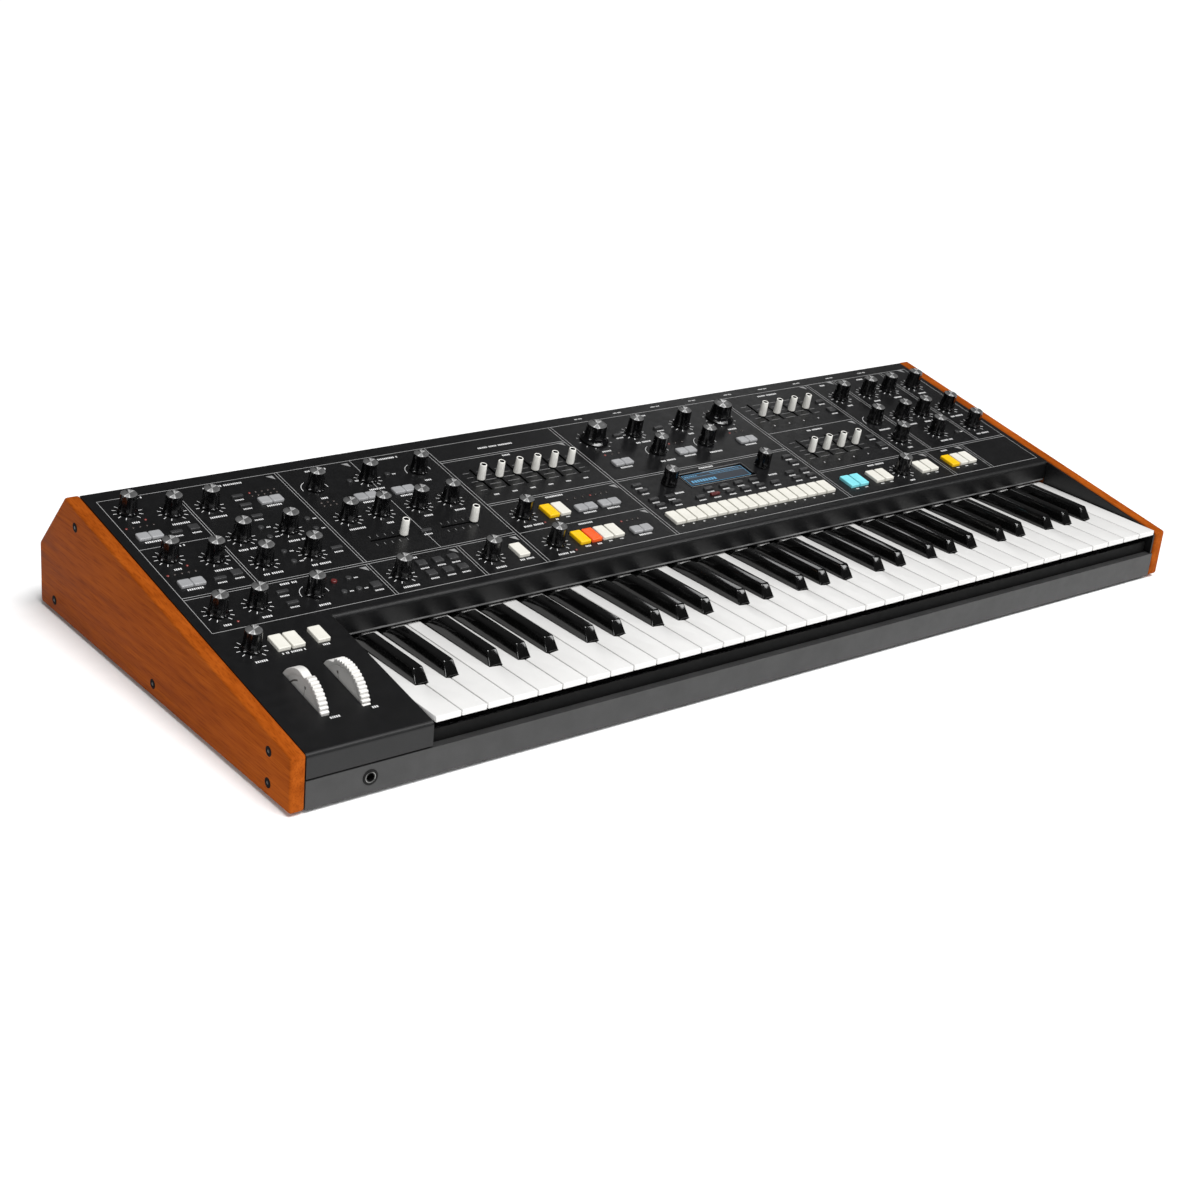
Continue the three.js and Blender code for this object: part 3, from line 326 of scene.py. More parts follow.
def prism(outline, z0, z1):
    """A flat outline of (x, y) points, counter-clockwise, from z0 up to z1."""
    shape = bmesh.new()
    low = [shape.verts.new((x, y, z0)) for x, y in outline]
    high = [shape.verts.new((x, y, z1)) for x, y in outline]
    count = len(outline)
    shape.faces.new(low[::-1])
    shape.faces.new(high)
    for i in range(count):
        j = (i + 1) % count
        shape.faces.new((low[i], low[j], high[j], high[i]))
    return shape


# ---------- materials ----------
class Nodes:
    """A material's node tree with short ways to add and join nodes."""

    def __init__(self, name):
        self.material = bpy.data.materials.new(name)
        self.material.use_nodes = True
        self.tree = self.material.node_tree
        self.shader = self.tree.nodes["Principled BSDF"]
        self.coordinates = self.node("ShaderNodeTexCoord")

    def node(self, kind, **settings):
        made = self.tree.nodes.new(kind)
        for key, value in settings.items():
            setattr(made, key, value)
        return made

    def join(self, source, target):
        self.tree.links.new(source, target)

    def mapped(self, scale):
        mapping = self.node("ShaderNodeMapping")
        mapping.inputs["Scale"].default_value = scale
        self.join(self.coordinates.outputs["Object"], mapping.inputs["Vector"])
        return mapping.outputs["Vector"]

    def noise(self, scale, detail=3.0, roughness=0.5, stretch=(1, 1, 1)):
        made = self.node("ShaderNodeTexNoise")
        made.inputs["Scale"].default_value = scale
        made.inputs["Detail"].default_value = detail
        made.inputs["Roughness"].default_value = roughness
        self.join(self.mapped(stretch), made.inputs["Vector"])
        return made.outputs["Fac"]

    def ramp(self, factor, *stops):
        made = self.node("ShaderNodeValToRGB")
        elements = made.color_ramp.elements
        while len(elements) < len(stops):
            elements.new(0.5)
        for element, (position, colour) in zip(elements, stops):
            element.position = position
            element.color = (*colour, 1.0)
        self.join(factor, made.inputs["Fac"])
        return made.outputs["Color"]

    def ranged(self, factor, low, high):
        made = self.node("ShaderNodeMapRange")
        made.inputs["From Min"].default_value = 0.3
        made.inputs["From Max"].default_value = 0.7
        made.inputs["To Min"].default_value = low
        made.inputs["To Max"].default_value = high
        self.join(factor, made.inputs["Value"])
        return made.outputs["Result"]

    def bump(self, height, strength, distance):
        made = self.node("ShaderNodeBump")
        made.inputs["Strength"].default_value = strength
        made.inputs["Distance"].default_value = distance
        self.join(height, made.inputs["Height"])
        self.join(made.outputs["Normal"], self.shader.inputs["Normal"])


def shade(colour):
    """A colour as it stands, or the grey that one number means."""
    return colour if isinstance(colour, tuple) else (colour,) * 3


def moulded(
    name, dark, light, roughness, spread=0.05, grain=900.0, bump=0.1, metallic=0.0, coat=0.0, specular=0.5
):
    """A plain finish with slight mottling, fine grain and uneven gloss."""
    nodes = Nodes(name)
    tone = nodes.ramp(nodes.noise(60.0), (0.3, shade(dark)), (0.7, shade(light)))
    nodes.join(tone, nodes.shader.inputs["Base Color"])
    gloss = nodes.ranged(nodes.noise(140.0, 4.0), roughness - spread, roughness + spread)
    nodes.join(gloss, nodes.shader.inputs["Roughness"])
    nodes.bump(nodes.noise(grain, 2.0), bump, 0.0001)
    nodes.shader.inputs["Metallic"].default_value = metallic
    nodes.shader.inputs["Coat Weight"].default_value = coat
    nodes.shader.inputs["Coat Roughness"].default_value = 0.08
    nodes.shader.inputs["Specular IOR Level"].default_value = specular
    return nodes.material


def oiled_wood():
    """Straight-grained hardwood: the grain runs from front to back."""
    nodes = Nodes("oiled_wood")
    warp = nodes.noise(7.0, 3.0, 0.55, (2.0, 0.5, 2.0))
    bands = nodes.noise(130.0, 4.0, 0.6, (1.0, 0.06, 1.0))
    pores = nodes.noise(900.0, 2.0, 0.5, (1.0, 0.05, 1.0))
    mixed = nodes.node("ShaderNodeMath", operation="MULTIPLY_ADD")
    nodes.join(bands, mixed.inputs[0])
    mixed.inputs[1].default_value = 0.6
    half = nodes.node("ShaderNodeMath", operation="MULTIPLY")
    nodes.join(warp, half.inputs[0])
    half.inputs[1].default_value = 0.4
    nodes.join(half.outputs[0], mixed.inputs[2])
    tone = nodes.ramp(
        mixed.outputs[0],
        (0.3, (0.19, 0.037, 0.003)),
        (0.45, (0.27, 0.055, 0.005)),
        (0.58, (0.35, 0.077, 0.008)),
        (0.75, (0.44, 0.104, 0.013)),
    )
    dark = nodes.node("ShaderNodeMix", data_type="RGBA", blend_type="MULTIPLY")
    dark.inputs["Factor"].default_value = 0.35
    nodes.join(tone, dark.inputs[6])
    nodes.join(nodes.ramp(pores, (0.35, (0.35, 0.25, 0.2)), (0.5, (1.0, 1.0, 1.0))), dark.inputs[7])
    nodes.join(dark.outputs[2], nodes.shader.inputs["Base Color"])
    nodes.join(nodes.ranged(bands, 0.38, 0.5), nodes.shader.inputs["Roughness"])
    nodes.bump(pores, 0.15, 0.0002)
    nodes.shader.inputs["Specular IOR Level"].default_value = 0.01
    return nodes.material


# The painted highlight on the knob caps is turned to this angle, towards the camera.
CAP_HIGHLIGHT_ANGLE = math.radians(48)


def spun_aluminium_painted_highlight():
    """Cap discs turned on a lathe, with a painted highlight: a bright fan in the base colour crosses the
    middle, turned towards the camera.
    """
    nodes = Nodes("spun_aluminium_painted_highlight")
    tangent = nodes.node("ShaderNodeTangent", direction_type="UV_MAP", uv_map="UVMap")
    nodes.join(tangent.outputs["Tangent"], nodes.shader.inputs["Tangent"])
    apart = nodes.node("ShaderNodeSeparateXYZ")
    nodes.join(nodes.coordinates.outputs["UV"], apart.inputs["Vector"])
    turns = nodes.node("ShaderNodeMath", operation="MULTIPLY_ADD")
    nodes.join(apart.outputs["X"], turns.inputs[0])
    turns.inputs[1].default_value = 4 * math.pi
    turns.inputs[2].default_value = -2 * CAP_HIGHLIGHT_ANGLE
    highlight_fan = nodes.node("ShaderNodeMath", operation="COSINE")
    nodes.join(turns.outputs[0], highlight_fan.inputs[0])
    uneven = nodes.node("ShaderNodeMath", operation="MULTIPLY_ADD")
    nodes.join(nodes.noise(1500.0), uneven.inputs[0])
    uneven.inputs[1].default_value = 0.1
    nodes.join(highlight_fan.outputs[0], uneven.inputs[2])
    # A bright band in this ramp paints the highlight into the base colour.
    shine = nodes.ramp(
        uneven.outputs[0],
        (0.1, (0.13, 0.13, 0.13)),
        (0.65, (0.2, 0.2, 0.2)),
        (0.86, (0.95, 0.95, 0.94)),
        (0.96, (0.42, 0.42, 0.42)),
    )
    nodes.join(shine, nodes.shader.inputs["Base Color"])
    nodes.join(nodes.ranged(nodes.noise(500.0), 0.28, 0.36), nodes.shader.inputs["Roughness"])
    nodes.shader.inputs["Metallic"].default_value = 0.45
    nodes.shader.inputs["Anisotropic"].default_value = 0.6
    return nodes.material


def glowing(name, colour, strength):
    nodes = Nodes(name)
    dim = tuple(part * 0.8 for part in colour)
    lit = nodes.ramp(nodes.noise(300.0), (0.3, dim), (0.7, colour))
    nodes.join(lit, nodes.shader.inputs["Base Color"])
    nodes.join(lit, nodes.shader.inputs["Emission Color"])
    nodes.shader.inputs["Emission Strength"].default_value = strength
    nodes.shader.inputs["Roughness"].default_value = 0.3
    return nodes.material


WOOD = oiled_wood()
STEEL = moulded(
    "black_powder_coat", (0.0022, 0.0022, 0.0025), (0.0036, 0.0036, 0.004),
    0.4, 0.03, 2200.0, 0.12, specular=0.45,
)
PAN_STEEL = moulded("dark_powder_coat", 0.022, 0.032, 0.4, 0.05, 2200.0, 0.2)
SLIP_BLACK = moulded("slip_black", 0.003, 0.005, 0.6, 0.05, 900.0, 0.2, specular=0.2)
GALVANISED = moulded(
    "plain_steel", (0.38, 0.39, 0.4), (0.52, 0.53, 0.54), 0.35, 0.08, 300.0, 0.1, metallic=1.0
)
IVORY = moulded("white_key_plastic", (0.67, 0.665, 0.655), (0.69, 0.685, 0.675), 0.3, 0.015, 500.0, 0.01)
EBONY = moulded("black_key_plastic", 0.002, 0.0035, 0.12, 0.03, 500.0, 0.02, coat=0.5)
KNOB = moulded(
    "knob_plastic", (0.0012, 0.0012, 0.0015), (0.002, 0.002, 0.0023), 0.16, 0.02, 700.0, 0.01, coat=0.2
)
CAP = moulded("cap_white_plastic", (0.66, 0.645, 0.585), (0.7, 0.685, 0.625), 0.42, 0.03, 900.0, 0.03)
COLOURED = {
    "white_cap": CAP,
    "yellow_cap": moulded(
        "cap_yellow_plastic", (0.80, 0.46, 0.002), (0.88, 0.53, 0.004), 0.36, 0.05, 900.0, 0.1
    ),
    "orange_cap": moulded(
        "cap_orange_plastic", (0.78, 0.08, 0.015), (0.88, 0.12, 0.02), 0.36, 0.05, 900.0, 0.1
    ),
    "cyan_cap": moulded("cap_cyan_plastic", (0.19, 0.63, 0.7), (0.23, 0.71, 0.78), 0.36, 0.05, 900.0, 0.1),
}
GREY_CAP = moulded("cap_grey_plastic", (0.27, 0.273, 0.28), (0.32, 0.323, 0.33), 0.3, 0.03, 900.0, 0.04)
SMALL_BLACK = moulded(
    "small_button_plastic", (0.028, 0.028, 0.029), (0.038, 0.038, 0.039), 0.32, 0.05, 900.0, 0.1
)
INK = moulded("printed_white", 0.62, 0.72, 0.6, 0.05, 1500.0, 0.05)
LINE_INK = moulded("printed_line", 0.34, 0.42, 0.6, 0.05, 1500.0, 0.05)
FAINT_INK = moulded("printed_grey", 0.2, 0.28, 0.6, 0.05, 1500.0, 0.05)
DARK_INK = moulded("printed_dark", 0.004, 0.006, 0.7, 0.05, 1500.0, 0.05, specular=0.05)
ALUMINIUM_PAINTED_HIGHLIGHT = spun_aluminium_painted_highlight()
WHEEL_PLASTIC = moulded("wheel_plastic", (0.66, 0.65, 0.63), (0.7, 0.69, 0.67), 0.4, 0.04, 900.0, 0.03)
FADER_WHITE = moulded("fader_plastic", (0.86, 0.85, 0.8), (0.9, 0.89, 0.84), 0.4, 0.04, 900.0, 0.03)
RUBBER = moulded("rubber", 0.012, 0.022, 0.8, 0.08, 700.0, 0.4)
FELT = moulded("grey_felt", 0.1, 0.2, 0.95, 0.03, 1800.0, 0.9)
BLACK_METAL = moulded("black_oxide", 0.006, 0.012, 0.35, 0.06, 500.0, 0.1, metallic=0.6)
NICKEL = moulded("nickel", (0.3, 0.3, 0.29), (0.4, 0.4, 0.39), 0.3, 0.05, 500.0, 0.05, metallic=1.0)
GLASS = moulded(
    "display_glass", (0.002, 0.003, 0.005), (0.003, 0.004, 0.007), 0.08, 0.02, 100.0, 0.01, coat=0.5
)
BOARD = moulded("circuit_board", (0.008, 0.045, 0.022), (0.014, 0.07, 0.035), 0.35, 0.08, 400.0, 0.2)
SCREEN_BLUE = glowing("screen_blue", (0.07, 0.25, 0.42), 0.25)
SCREEN_DEEP = glowing("screen_deep_blue", (0.002, 0.008, 0.018), 0.1)
RED_LIGHT = glowing("red_light", (0.2, 0.035, 0.03), 0.15)
DARK_LIGHT = moulded("unlit_light", (0.03, 0.024, 0.022), (0.05, 0.04, 0.036), 0.25)
# Painted shade: a dark grey that stands for the shade in the sunk slots on the wheels' sides.
WHEEL_SLOT_SHADE = moulded("wheel_slot_painted_shade", (0.09, 0.085, 0.08), (0.14, 0.13, 0.12), 0.6)
# Painted shade: the key stems and bars are a dark grey so that the space under the keys reads as shaded.
KEY_BODY_SHADE = moulded("key_body_painted_shade", 0.1, 0.14, 0.5)
DIM_RED = moulded("dim_red_plastic", (0.08, 0.012, 0.012), (0.11, 0.018, 0.018), 0.35)


# ---------- case ----------
CHEEK_TOP_Y = 366.5
CHEEK_FRONT_HEIGHT = 48.5
CHEEK_REAR_HEIGHT = 57.5


def cheek(name, node):
    low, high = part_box(node)
    low, high = low / MM, high / MM
    front, rear = low.y, high.y
    top_y = FRONT_Y + CHEEK_TOP_Y
    outline = [
        (front, low.z),
        (rear, low.z),
        (rear, CHEEK_REAR_HEIGHT),
        (top_y, high.z),
        (front, CHEEK_FRONT_HEIGHT),
    ]
    piece = Piece(name)
    shape = prism(outline, low.x, high.x)
    bevelled(shape, 2.4, 4)
    turn = Matrix(((0, 0, 1, 0), (1, 0, 0, 0), (0, 1, 0, 0), (0, 0, 0, 1)))
    piece.absorb(shape, WOOD, turn)
    return piece.build("case", "wood", node, sharp=50)


cheek("left_cheek_wood", "left_cheek")
cheek("right_cheek_wood", "right_cheek")

# Outlines turned for a screw are (radius, height) off the wood.
SCREW_HEAD = ((4.1, -1.0), (4.1, 0.12), (3.8, 0.25), (2.4, 0.25), (2.3, 0.1))
SCREW_DRIVE = ((1.5, -1.0), (1.5, 0.16), (1.3, 0.22))
# Each screw is at (distance from the front, height).
CHEEK_SCREWS = ((347.3, 95.3), (389.7, 14.3), (210.4, 14.5), (31.3, 39.8), (31.5, 14.2))


def cheek_screws():
    piece = Piece("cheek_screws")
    for node, side in (("left_cheek", -1), ("right_cheek", 1)):
        low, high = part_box(node)
        face_x = (low.x if side < 0 else high.x) / MM
        turn = Matrix.Rotation(side * math.pi / 2, 4, "Y")
        for y, z in CHEEK_SCREWS:
            place = Matrix.Translation((face_x, FRONT_Y + y, z)) @ turn
            turned(piece, SCREW_HEAD, 24, DARK_INK, place)
            turned(piece, SCREW_DRIVE, 6, BLACK_METAL, place)
    return piece.build("case", "grey_steel")


cheek_screws()

# CAD nodes that stay as they are and only take a finish.
NODE_FINISHES = {
    "top_panel": STEEL,
    "right_end_wall": STEEL,
    "rear_panel": STEEL,
    "key_slip": SLIP_BLACK,
    "bottom_pan": PAN_STEEL,
    "headphone_jack": BLACK_METAL,
    "rear_jack_board": BLACK_METAL,
    "power_inlet": RUBBER,
    "keybed_frame": GALVANISED,
    "key_contact_board": BOARD,
    "wheel_bracket": GALVANISED,
    "main_board": BOARD,
    "power_supply": GALVANISED,
}
for node, finish in NODE_FINISHES.items():
    frame["nodes"][node].data.materials.clear()
    frame["nodes"][node].data.materials.append(finish)


def lip_felt():
    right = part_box("right_end_wall")[0].x / MM
    piece = Piece("lip_felt")
    slab(piece, KEY_LEFT, right, 145.2, 147.6, 54.4, 56.6, FELT, CASE, 0.5)
    return piece.build("case", "rubber")


lip_felt()


def feet():
    for node in ("front_left_foot", "front_right_foot", "rear_left_foot", "rear_right_foot"):
        low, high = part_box(node)
        centre = (low + high) / 2 / MM
        radius = (high.x - low.x) / 2 / MM
        piece = Piece(node + "_rubber")
        outline = ((0.5, 0.0), (radius - 2.5, 0.0), (radius - 1.6, 0.5), (radius, high.z / MM))
        turned(piece, outline, 32, RUBBER, IDENTITY, centre.x, centre.y, bottom=True)
        piece.build("case", "rubber", node)


feet()


# ---------- keys ----------
STEM_FRONT = 17
STEM_BOTTOM = 39
STEM_END_OUTER = 188  # the C, E, G and B stems run into the bar behind all the keys
STEM_END_INNER = 183  # the D, F and A stems stop short of it and hang on a bar below
OUTER_BAR = (186.8, 194, STEM_BOTTOM, 47)
INNER_BAR = (170, 178, 26, 31)
TOP_C_STEM_END = 186


def black_centre(after, shift):
    return after * KEY_PITCH + shift


def white_stem(note, last_of_all):
    half = BLACK_SLOT / 2
    below = [key for key in BLACK_KEYS if key[0] == note]
    above = [key for key in BLACK_KEYS if key[0] == note + 1]
    left = black_centre(*below[0]) + half if below else note * KEY_PITCH + KEY_GAP / 2
    if above and not last_of_all:
        return left, black_centre(*above[0]) - half
    return left, (note + 1) * KEY_PITCH - KEY_GAP / 2


def white_key(piece, octave_x, note, stem_end, last_of_all=False):
    left = octave_x + note * KEY_PITCH + KEY_GAP / 2
    right = left + KEY_PITCH - KEY_GAP
    stem_left, stem_right = (octave_x + x for x in white_stem(note, last_of_all))
    front = 0.6
    outline = [(left, front), (right, front), (right, WHITE_SLOT_FRONT)]
    if right - stem_right > 0.1:
        outline.append((stem_right, WHITE_SLOT_FRONT))
    else:
        outline.pop()
    outline += [(stem_right, WHITE_END), (stem_left, WHITE_END)]
    if stem_left - left > 0.1:
        outline += [(stem_left, WHITE_SLOT_FRONT), (left, WHITE_SLOT_FRONT)]
    shape = prism(outline, WHITE_TOP_Z - WHITE_PLATE, WHITE_TOP_Z)
    bevelled(shape, 0.75, 3, lambda e: max(v.co.z for v in e.verts) > WHITE_TOP_Z - 0.1)
    piece.absorb(shape, IVORY, CASE)
    inset = 1.2
    stem_top = WHITE_TOP_Z - WHITE_PLATE + 0.2
    stem_x0, stem_x1 = stem_left + inset, stem_right - inset
    # The stem takes the painted shade colour of the space under the keys.
    slab(piece, stem_x0, stem_x1, STEM_FRONT, stem_end, STEM_BOTTOM, stem_top, KEY_BODY_SHADE, CASE, 0.6)


def black_key(piece, centre):
    half, top_half = BLACK_WIDTH / 2, BLACK_TOP_WIDTH / 2
    front_top, rear_top, rear_bottom = BLACK_FRONT_Y + 6.5, 126, 142
    z0, z1 = BLACK_BOTTOM_Z, BLACK_TOP_Z
    shoulder_z = WHITE_TOP_Z + 1.0
    side = [
        (BLACK_FRONT_Y, z0, half),
        (BLACK_FRONT_Y, shoulder_z, half),
        (front_top, z1, top_half),
        (rear_top, z1, top_half),
        (rear_bottom, shoulder_z, half),
        (rear_bottom, z0, half),
    ]
    shape = bmesh.new()
    rows = [[shape.verts.new((centre + s * w, y, z)) for y, z, w in side] for s in (-1, 1)]
    left, right = rows
    count = len(side)
    shape.faces.new((left[0], left[1], left[4], left[5]))
    shape.faces.new((left[1], left[2], left[3], left[4]))
    shape.faces.new((right[5], right[4], right[1], right[0]))
    shape.faces.new((right[4], right[3], right[2], right[1]))
    for i in range(count):
        j = (i + 1) % count
        shape.faces.new((right[i], right[j], left[j], left[i]))
    bmesh.ops.recalc_face_normals(shape, faces=shape.faces[:])
    bevelled(shape, 1.3, 4, lambda e: max(v.co.z for v in e.verts) > z1 - 0.1)
    piece.absorb(shape, EBONY, CASE)
    slab(piece, centre - 4.5, centre + 4.5, 120, 166, z0 + 1, 50.4, EBONY, CASE, 0.5)


def keyboard():
    for octave in range(OCTAVES):
        octave_x = KEY_LEFT + octave * WHITE_PER_OCTAVE * KEY_PITCH
        for kind, notes, stem_end, bar, inset in (
            ("c_e_g_b", (0, 2, 4, 6), STEM_END_OUTER, OUTER_BAR, 2),
            ("d_f_a", (1, 3, 5), STEM_END_INNER, INNER_BAR, 9),
        ):
            node = f"white_keys_{kind}_octave_{octave + 1}"
            piece = Piece(node + "_caps")
            for note in notes:
                white_key(piece, octave_x, note, stem_end)
                if bar is INNER_BAR:
                    left, right = (octave_x + x for x in white_stem(note, False))
                    slab(piece, left + 1.6, right - 1.6, *bar[:2], bar[3] - 1, 40, KEY_BODY_SHADE, CASE, 0.4)
            low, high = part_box(node)
            slab(piece, low.x / MM + inset, high.x / MM - inset, *bar, KEY_BODY_SHADE, CASE, 0.6)
            piece.build(node, "white_key", node, sharp=40)
        node = f"black_keys_octave_{octave + 1}"
        piece = Piece(node + "_caps")
        centres = [octave_x + black_centre(*key) for key in BLACK_KEYS]
        for centre in centres:
            black_key(piece, centre)
        slab(piece, centres[0] - 4.5, centres[-1] + 4.5, 158, 168, 50, 55, EBONY, CASE, 0.6)
        piece.build(node, "black_key", node, sharp=40)
    piece = Piece("white_key_top_c_cap")
    white_key(piece, KEY_LEFT + OCTAVES * WHITE_PER_OCTAVE * KEY_PITCH, 0, TOP_C_STEM_END, True)
    piece.build("white_key_top_c", "white_key", "white_key_top_c", sharp=40)


keyboard()


# ---------- wheels ----------
WHEEL_SIDES = 640
WHEEL_HALF = 3.6
RING_HALF = 3.2  # the hub and the ring under the rim
WEB_HALF = 2.5  # the thin disc between them
NOTCH_DEPTH = 2.8
NOTCH_FALL = 0.2  # the rim falls gently to the notch from one side
NOTCH_STEP = 0.07  # and steps up sharply to the ribs on the other
RIBS_FROM, RIBS_TO, RIB_PITCH = 0.12, 2.1, 0.11
RIB_DEPTH = 2.2


def wheel_slot_shade(piece, turn, side, start, end, inner, outer):
    """A thin dark sheet on a wheel's side, between two angles and two radii: painted shade standing for a
    sunk slot.
    """
    steps = max(1, round((end - start) / 0.06))
    angles = [start + (end - start) * i / steps for i in range(steps + 1)]
    ring = [(inner * math.cos(angle), inner * math.sin(angle)) for angle in angles]
    ring += [(outer * math.cos(angle), outer * math.sin(angle)) for angle in reversed(angles)]
    count = len(ring)
    points = [(x, y, side * z) for z in (WEB_HALF - 0.05, WEB_HALF + 0.04) for x, y in ring]
    faces = [tuple(range(count)), tuple(reversed(range(count, 2 * count)))]
    faces += [(i, count + i, count + (i + 1) % count, (i + 1) % count) for i in range(count)]
    piece.add(points, [face if side > 0 else face[::-1] for face in faces], WHEEL_SLOT_SHADE, turn)


def wheel(name, node, joint, notch):
    centre = Vector(joints[joint]["pos_m"]) / MM
    low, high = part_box(node)
    radius = (high.y - low.y) / 2 / MM
    middle_x = (low.x + high.x) / 2 / MM

    def rim(angle):
        turn = (angle - notch + math.pi) % (2 * math.pi) - math.pi
        dip = -NOTCH_DEPTH * math.exp(-((turn / (NOTCH_STEP if turn > 0 else NOTCH_FALL)) ** 2))
        if RIBS_FROM < turn < RIBS_TO:
            phase = ((turn - RIBS_FROM) / RIB_PITCH) % 1.0
            dip -= RIB_DEPTH * (1 - math.sin(math.pi * phase) ** 0.6)
        return dip

    # One side's outline from the bore out: radius, half thickness, and whether the rim's ribs shape it.
    half_outline = (
        (3.9, RING_HALF, 0), (8.0, RING_HALF, 0), (8.6, WEB_HALF, 0), (radius - 6.0, WEB_HALF, 0),
        (radius - 5.2, RING_HALF, 0), (radius - 3.6, WHEEL_HALF, 0), (radius - 0.5, WHEEL_HALF, 1),
        (radius - 0.1, WHEEL_HALF - 0.4, 1),
    )
    far_side = [(r, -x, ribbed) for r, x, ribbed in reversed(half_outline)]
    outline = (*half_outline, *far_side, half_outline[0])
    rings = [
        round_ring(r, x, WHEEL_SIDES, wave=rim if ribbed else None) for r, x, ribbed in reversed(outline)
    ]
    # The ring's own X and Y become the case's Y and Z, and its height runs along X.
    turn = Matrix(((0, 0, 1, middle_x), (1, 0, 0, centre.y), (0, 1, 0, centre.z), (0, 0, 0, 1)))
    piece = Piece(name)
    loft(piece, rings, WHEEL_PLASTIC, turn, bottom=False, top=False)
    for side in (-1, 1):
        # Thin dark sheets on each side are painted shade for the sunk slots and the line in to the hub.
        slot_radius = radius * 0.7
        wheel_slot_shade(piece, turn, side, notch - 1.0, notch - 0.42, slot_radius - 0.8, slot_radius + 0.5)
        wheel_slot_shade(piece, turn, side, notch + 0.03, notch + 0.13, slot_radius - 2.4, slot_radius - 0.2)
        wheel_slot_shade(piece, turn, side, notch + 0.07, notch + 0.09, 9.5, slot_radius - 2.4)
    return piece.build(node, "white_cap", node, sharp=32)


PITCH_NOTCH = math.pi / 2 + SLOPE
wheel("pitch_wheel_moulding", "pitch_wheel", "pitch_wheel_axle", PITCH_NOTCH)
wheel("mod_wheel_moulding", "mod_wheel", "mod_wheel_axle", PITCH_NOTCH - math.radians(34))


# ---------- knobs ----------
KNOB_SIDES = 80
FLUTES = 10
# Each outline step is the body's radius, its height, and how deep the flutes are there.
KNOB_SHAPES = {
    SMALL: (
        (8.7, 1.0, 0.9), (8.9, 1.3, 1.0), (8.1, 2.2, 1.1), (7.8, 3.4, 1.0), (7.5, 5.5, 0.8), (7.2, 12.0, 0.6),
        (7.05, 16.6, 0.55), (6.9, 17.3, 0.3), (6.6, 17.6, 0.0),
    ),
    ENCODER: (
        (7.8, 1.0, 0.5), (7.9, 1.3, 0.6), (7.4, 1.9, 0.7), (7.2, 7.0, 0.7), (7.0, 12.0, 0.6),
        (6.9, 15.6, 0.5),
        (6.7, 16.2, 0.25), (6.4, 16.5, 0.0),
    ),
    LARGE: (
        (13.7, 1.0, 0.0), (13.9, 1.5, 0.1), (12.6, 2.6, 0.5), (11.3, 4.0, 1.1), (10.5, 6.2, 1.1),
        (9.9, 11.0, 0.9),
        (9.6, 16.6, 0.6), (9.4, 17.3, 0.3), (8.9, 17.6, 0.0),
    ),
}
CAP_RISE = 0.4


def knob(piece, x, v, size):
    shape = KNOB_SHAPES[size]

    def fluted(depth):
        return lambda angle: -depth * abs(math.cos(FLUTES * angle / 2)) ** 0.8

    rings = [round_ring(radius, z, KNOB_SIDES, x, v, fluted(depth)) for radius, z, depth in shape]
    loft(piece, rings, KNOB, PANEL, bottom=True, top=False)
    edge, top = shape[-1][0], shape[-1][1]
    rim = edge - 0.5
    points, faces, uvs = [(x, v, top + CAP_RISE)], [], []
    levels = (
        (rim * 0.12, CAP_RISE), (rim * 0.55, CAP_RISE), (rim - 0.35, CAP_RISE - 0.05), (rim, 0.1),
        (edge, 0.0),
    )
    for radius, rise in levels:
        points += round_ring(radius, top + rise, KNOB_SIDES, x, v)
    for i in range(KNOB_SIDES):
        j = (i + 1) % KNOB_SIDES
        a, b = i / KNOB_SIDES, (i + 1) / KNOB_SIDES
        faces.append((0, 1 + i, 1 + j))
        uvs.append([((a + b) / 2, 0.0), (a, 0.2), (b, 0.2)])
        for level in range(len(levels) - 1):
            low, high = 1 + level * KNOB_SIDES, 1 + (level + 1) * KNOB_SIDES
            faces.append((low + i, high + i, high + j, low + j))
            near, far = 0.2 * (level + 1), 0.2 * (level + 2)
            uvs.append([(a, near), (a, far), (b, far), (b, near)])
    # The cap's colour carries a painted highlight.
    piece.add(points, faces, ALUMINIUM_PAINTED_HIGHLIGHT, PANEL, uvs)
    # The pointer is a white line from the cap's edge down the side away from the player.
    body = shape[-4][0]
    slab(piece, x - 0.45, x + 0.45, v + body - 0.5, v + body + 0.12, 6.0, 16.2, INK, PANEL, 0.1, 1)
    near, far = v + rim * 0.45, v + rim * 0.98
    slab(piece, x - 0.4, x + 0.4, near, far, top + 0.2, top + CAP_RISE + 0.06, DARK_INK, PANEL, 0.05, 1)


def moving_knobs():
    for node, x, v, size in MOVING_KNOBS:
        piece = Piece(node + "_cap")
        knob(piece, x, v, size)
        turned(piece, ((3.0, -12.6), (3.0, 1.2)), 20, NICKEL, PANEL, x, v)
        piece.build(node, "knob", node)


moving_knobs()


# ---------- faders and buttons ----------
def fader_cap(piece, x, v, along_x=False):
    outline = (
        (3.3, 1.0), (3.7, 1.4), (3.75, 3.0), (3.5, 9.0), (3.25, 15.3), (3.1, 15.8), (2.7, 16.0), (2.3, 15.7),
    )
    turned(piece, outline, 36, FADER_WHITE, PANEL, x, v, bottom=True, top=False)
    turned(piece, ((2.3, 15.7), (1.8, 15.1), (0.3, 15.0)), 36, DARK_INK, PANEL, x, v)
    across, along = (2.0, 0.7) if along_x else (0.7, 2.0)
    slab(piece, x - across, x + across, v - along, v + along, -12.6, 1.3, KNOB, PANEL, 0.1, 1)


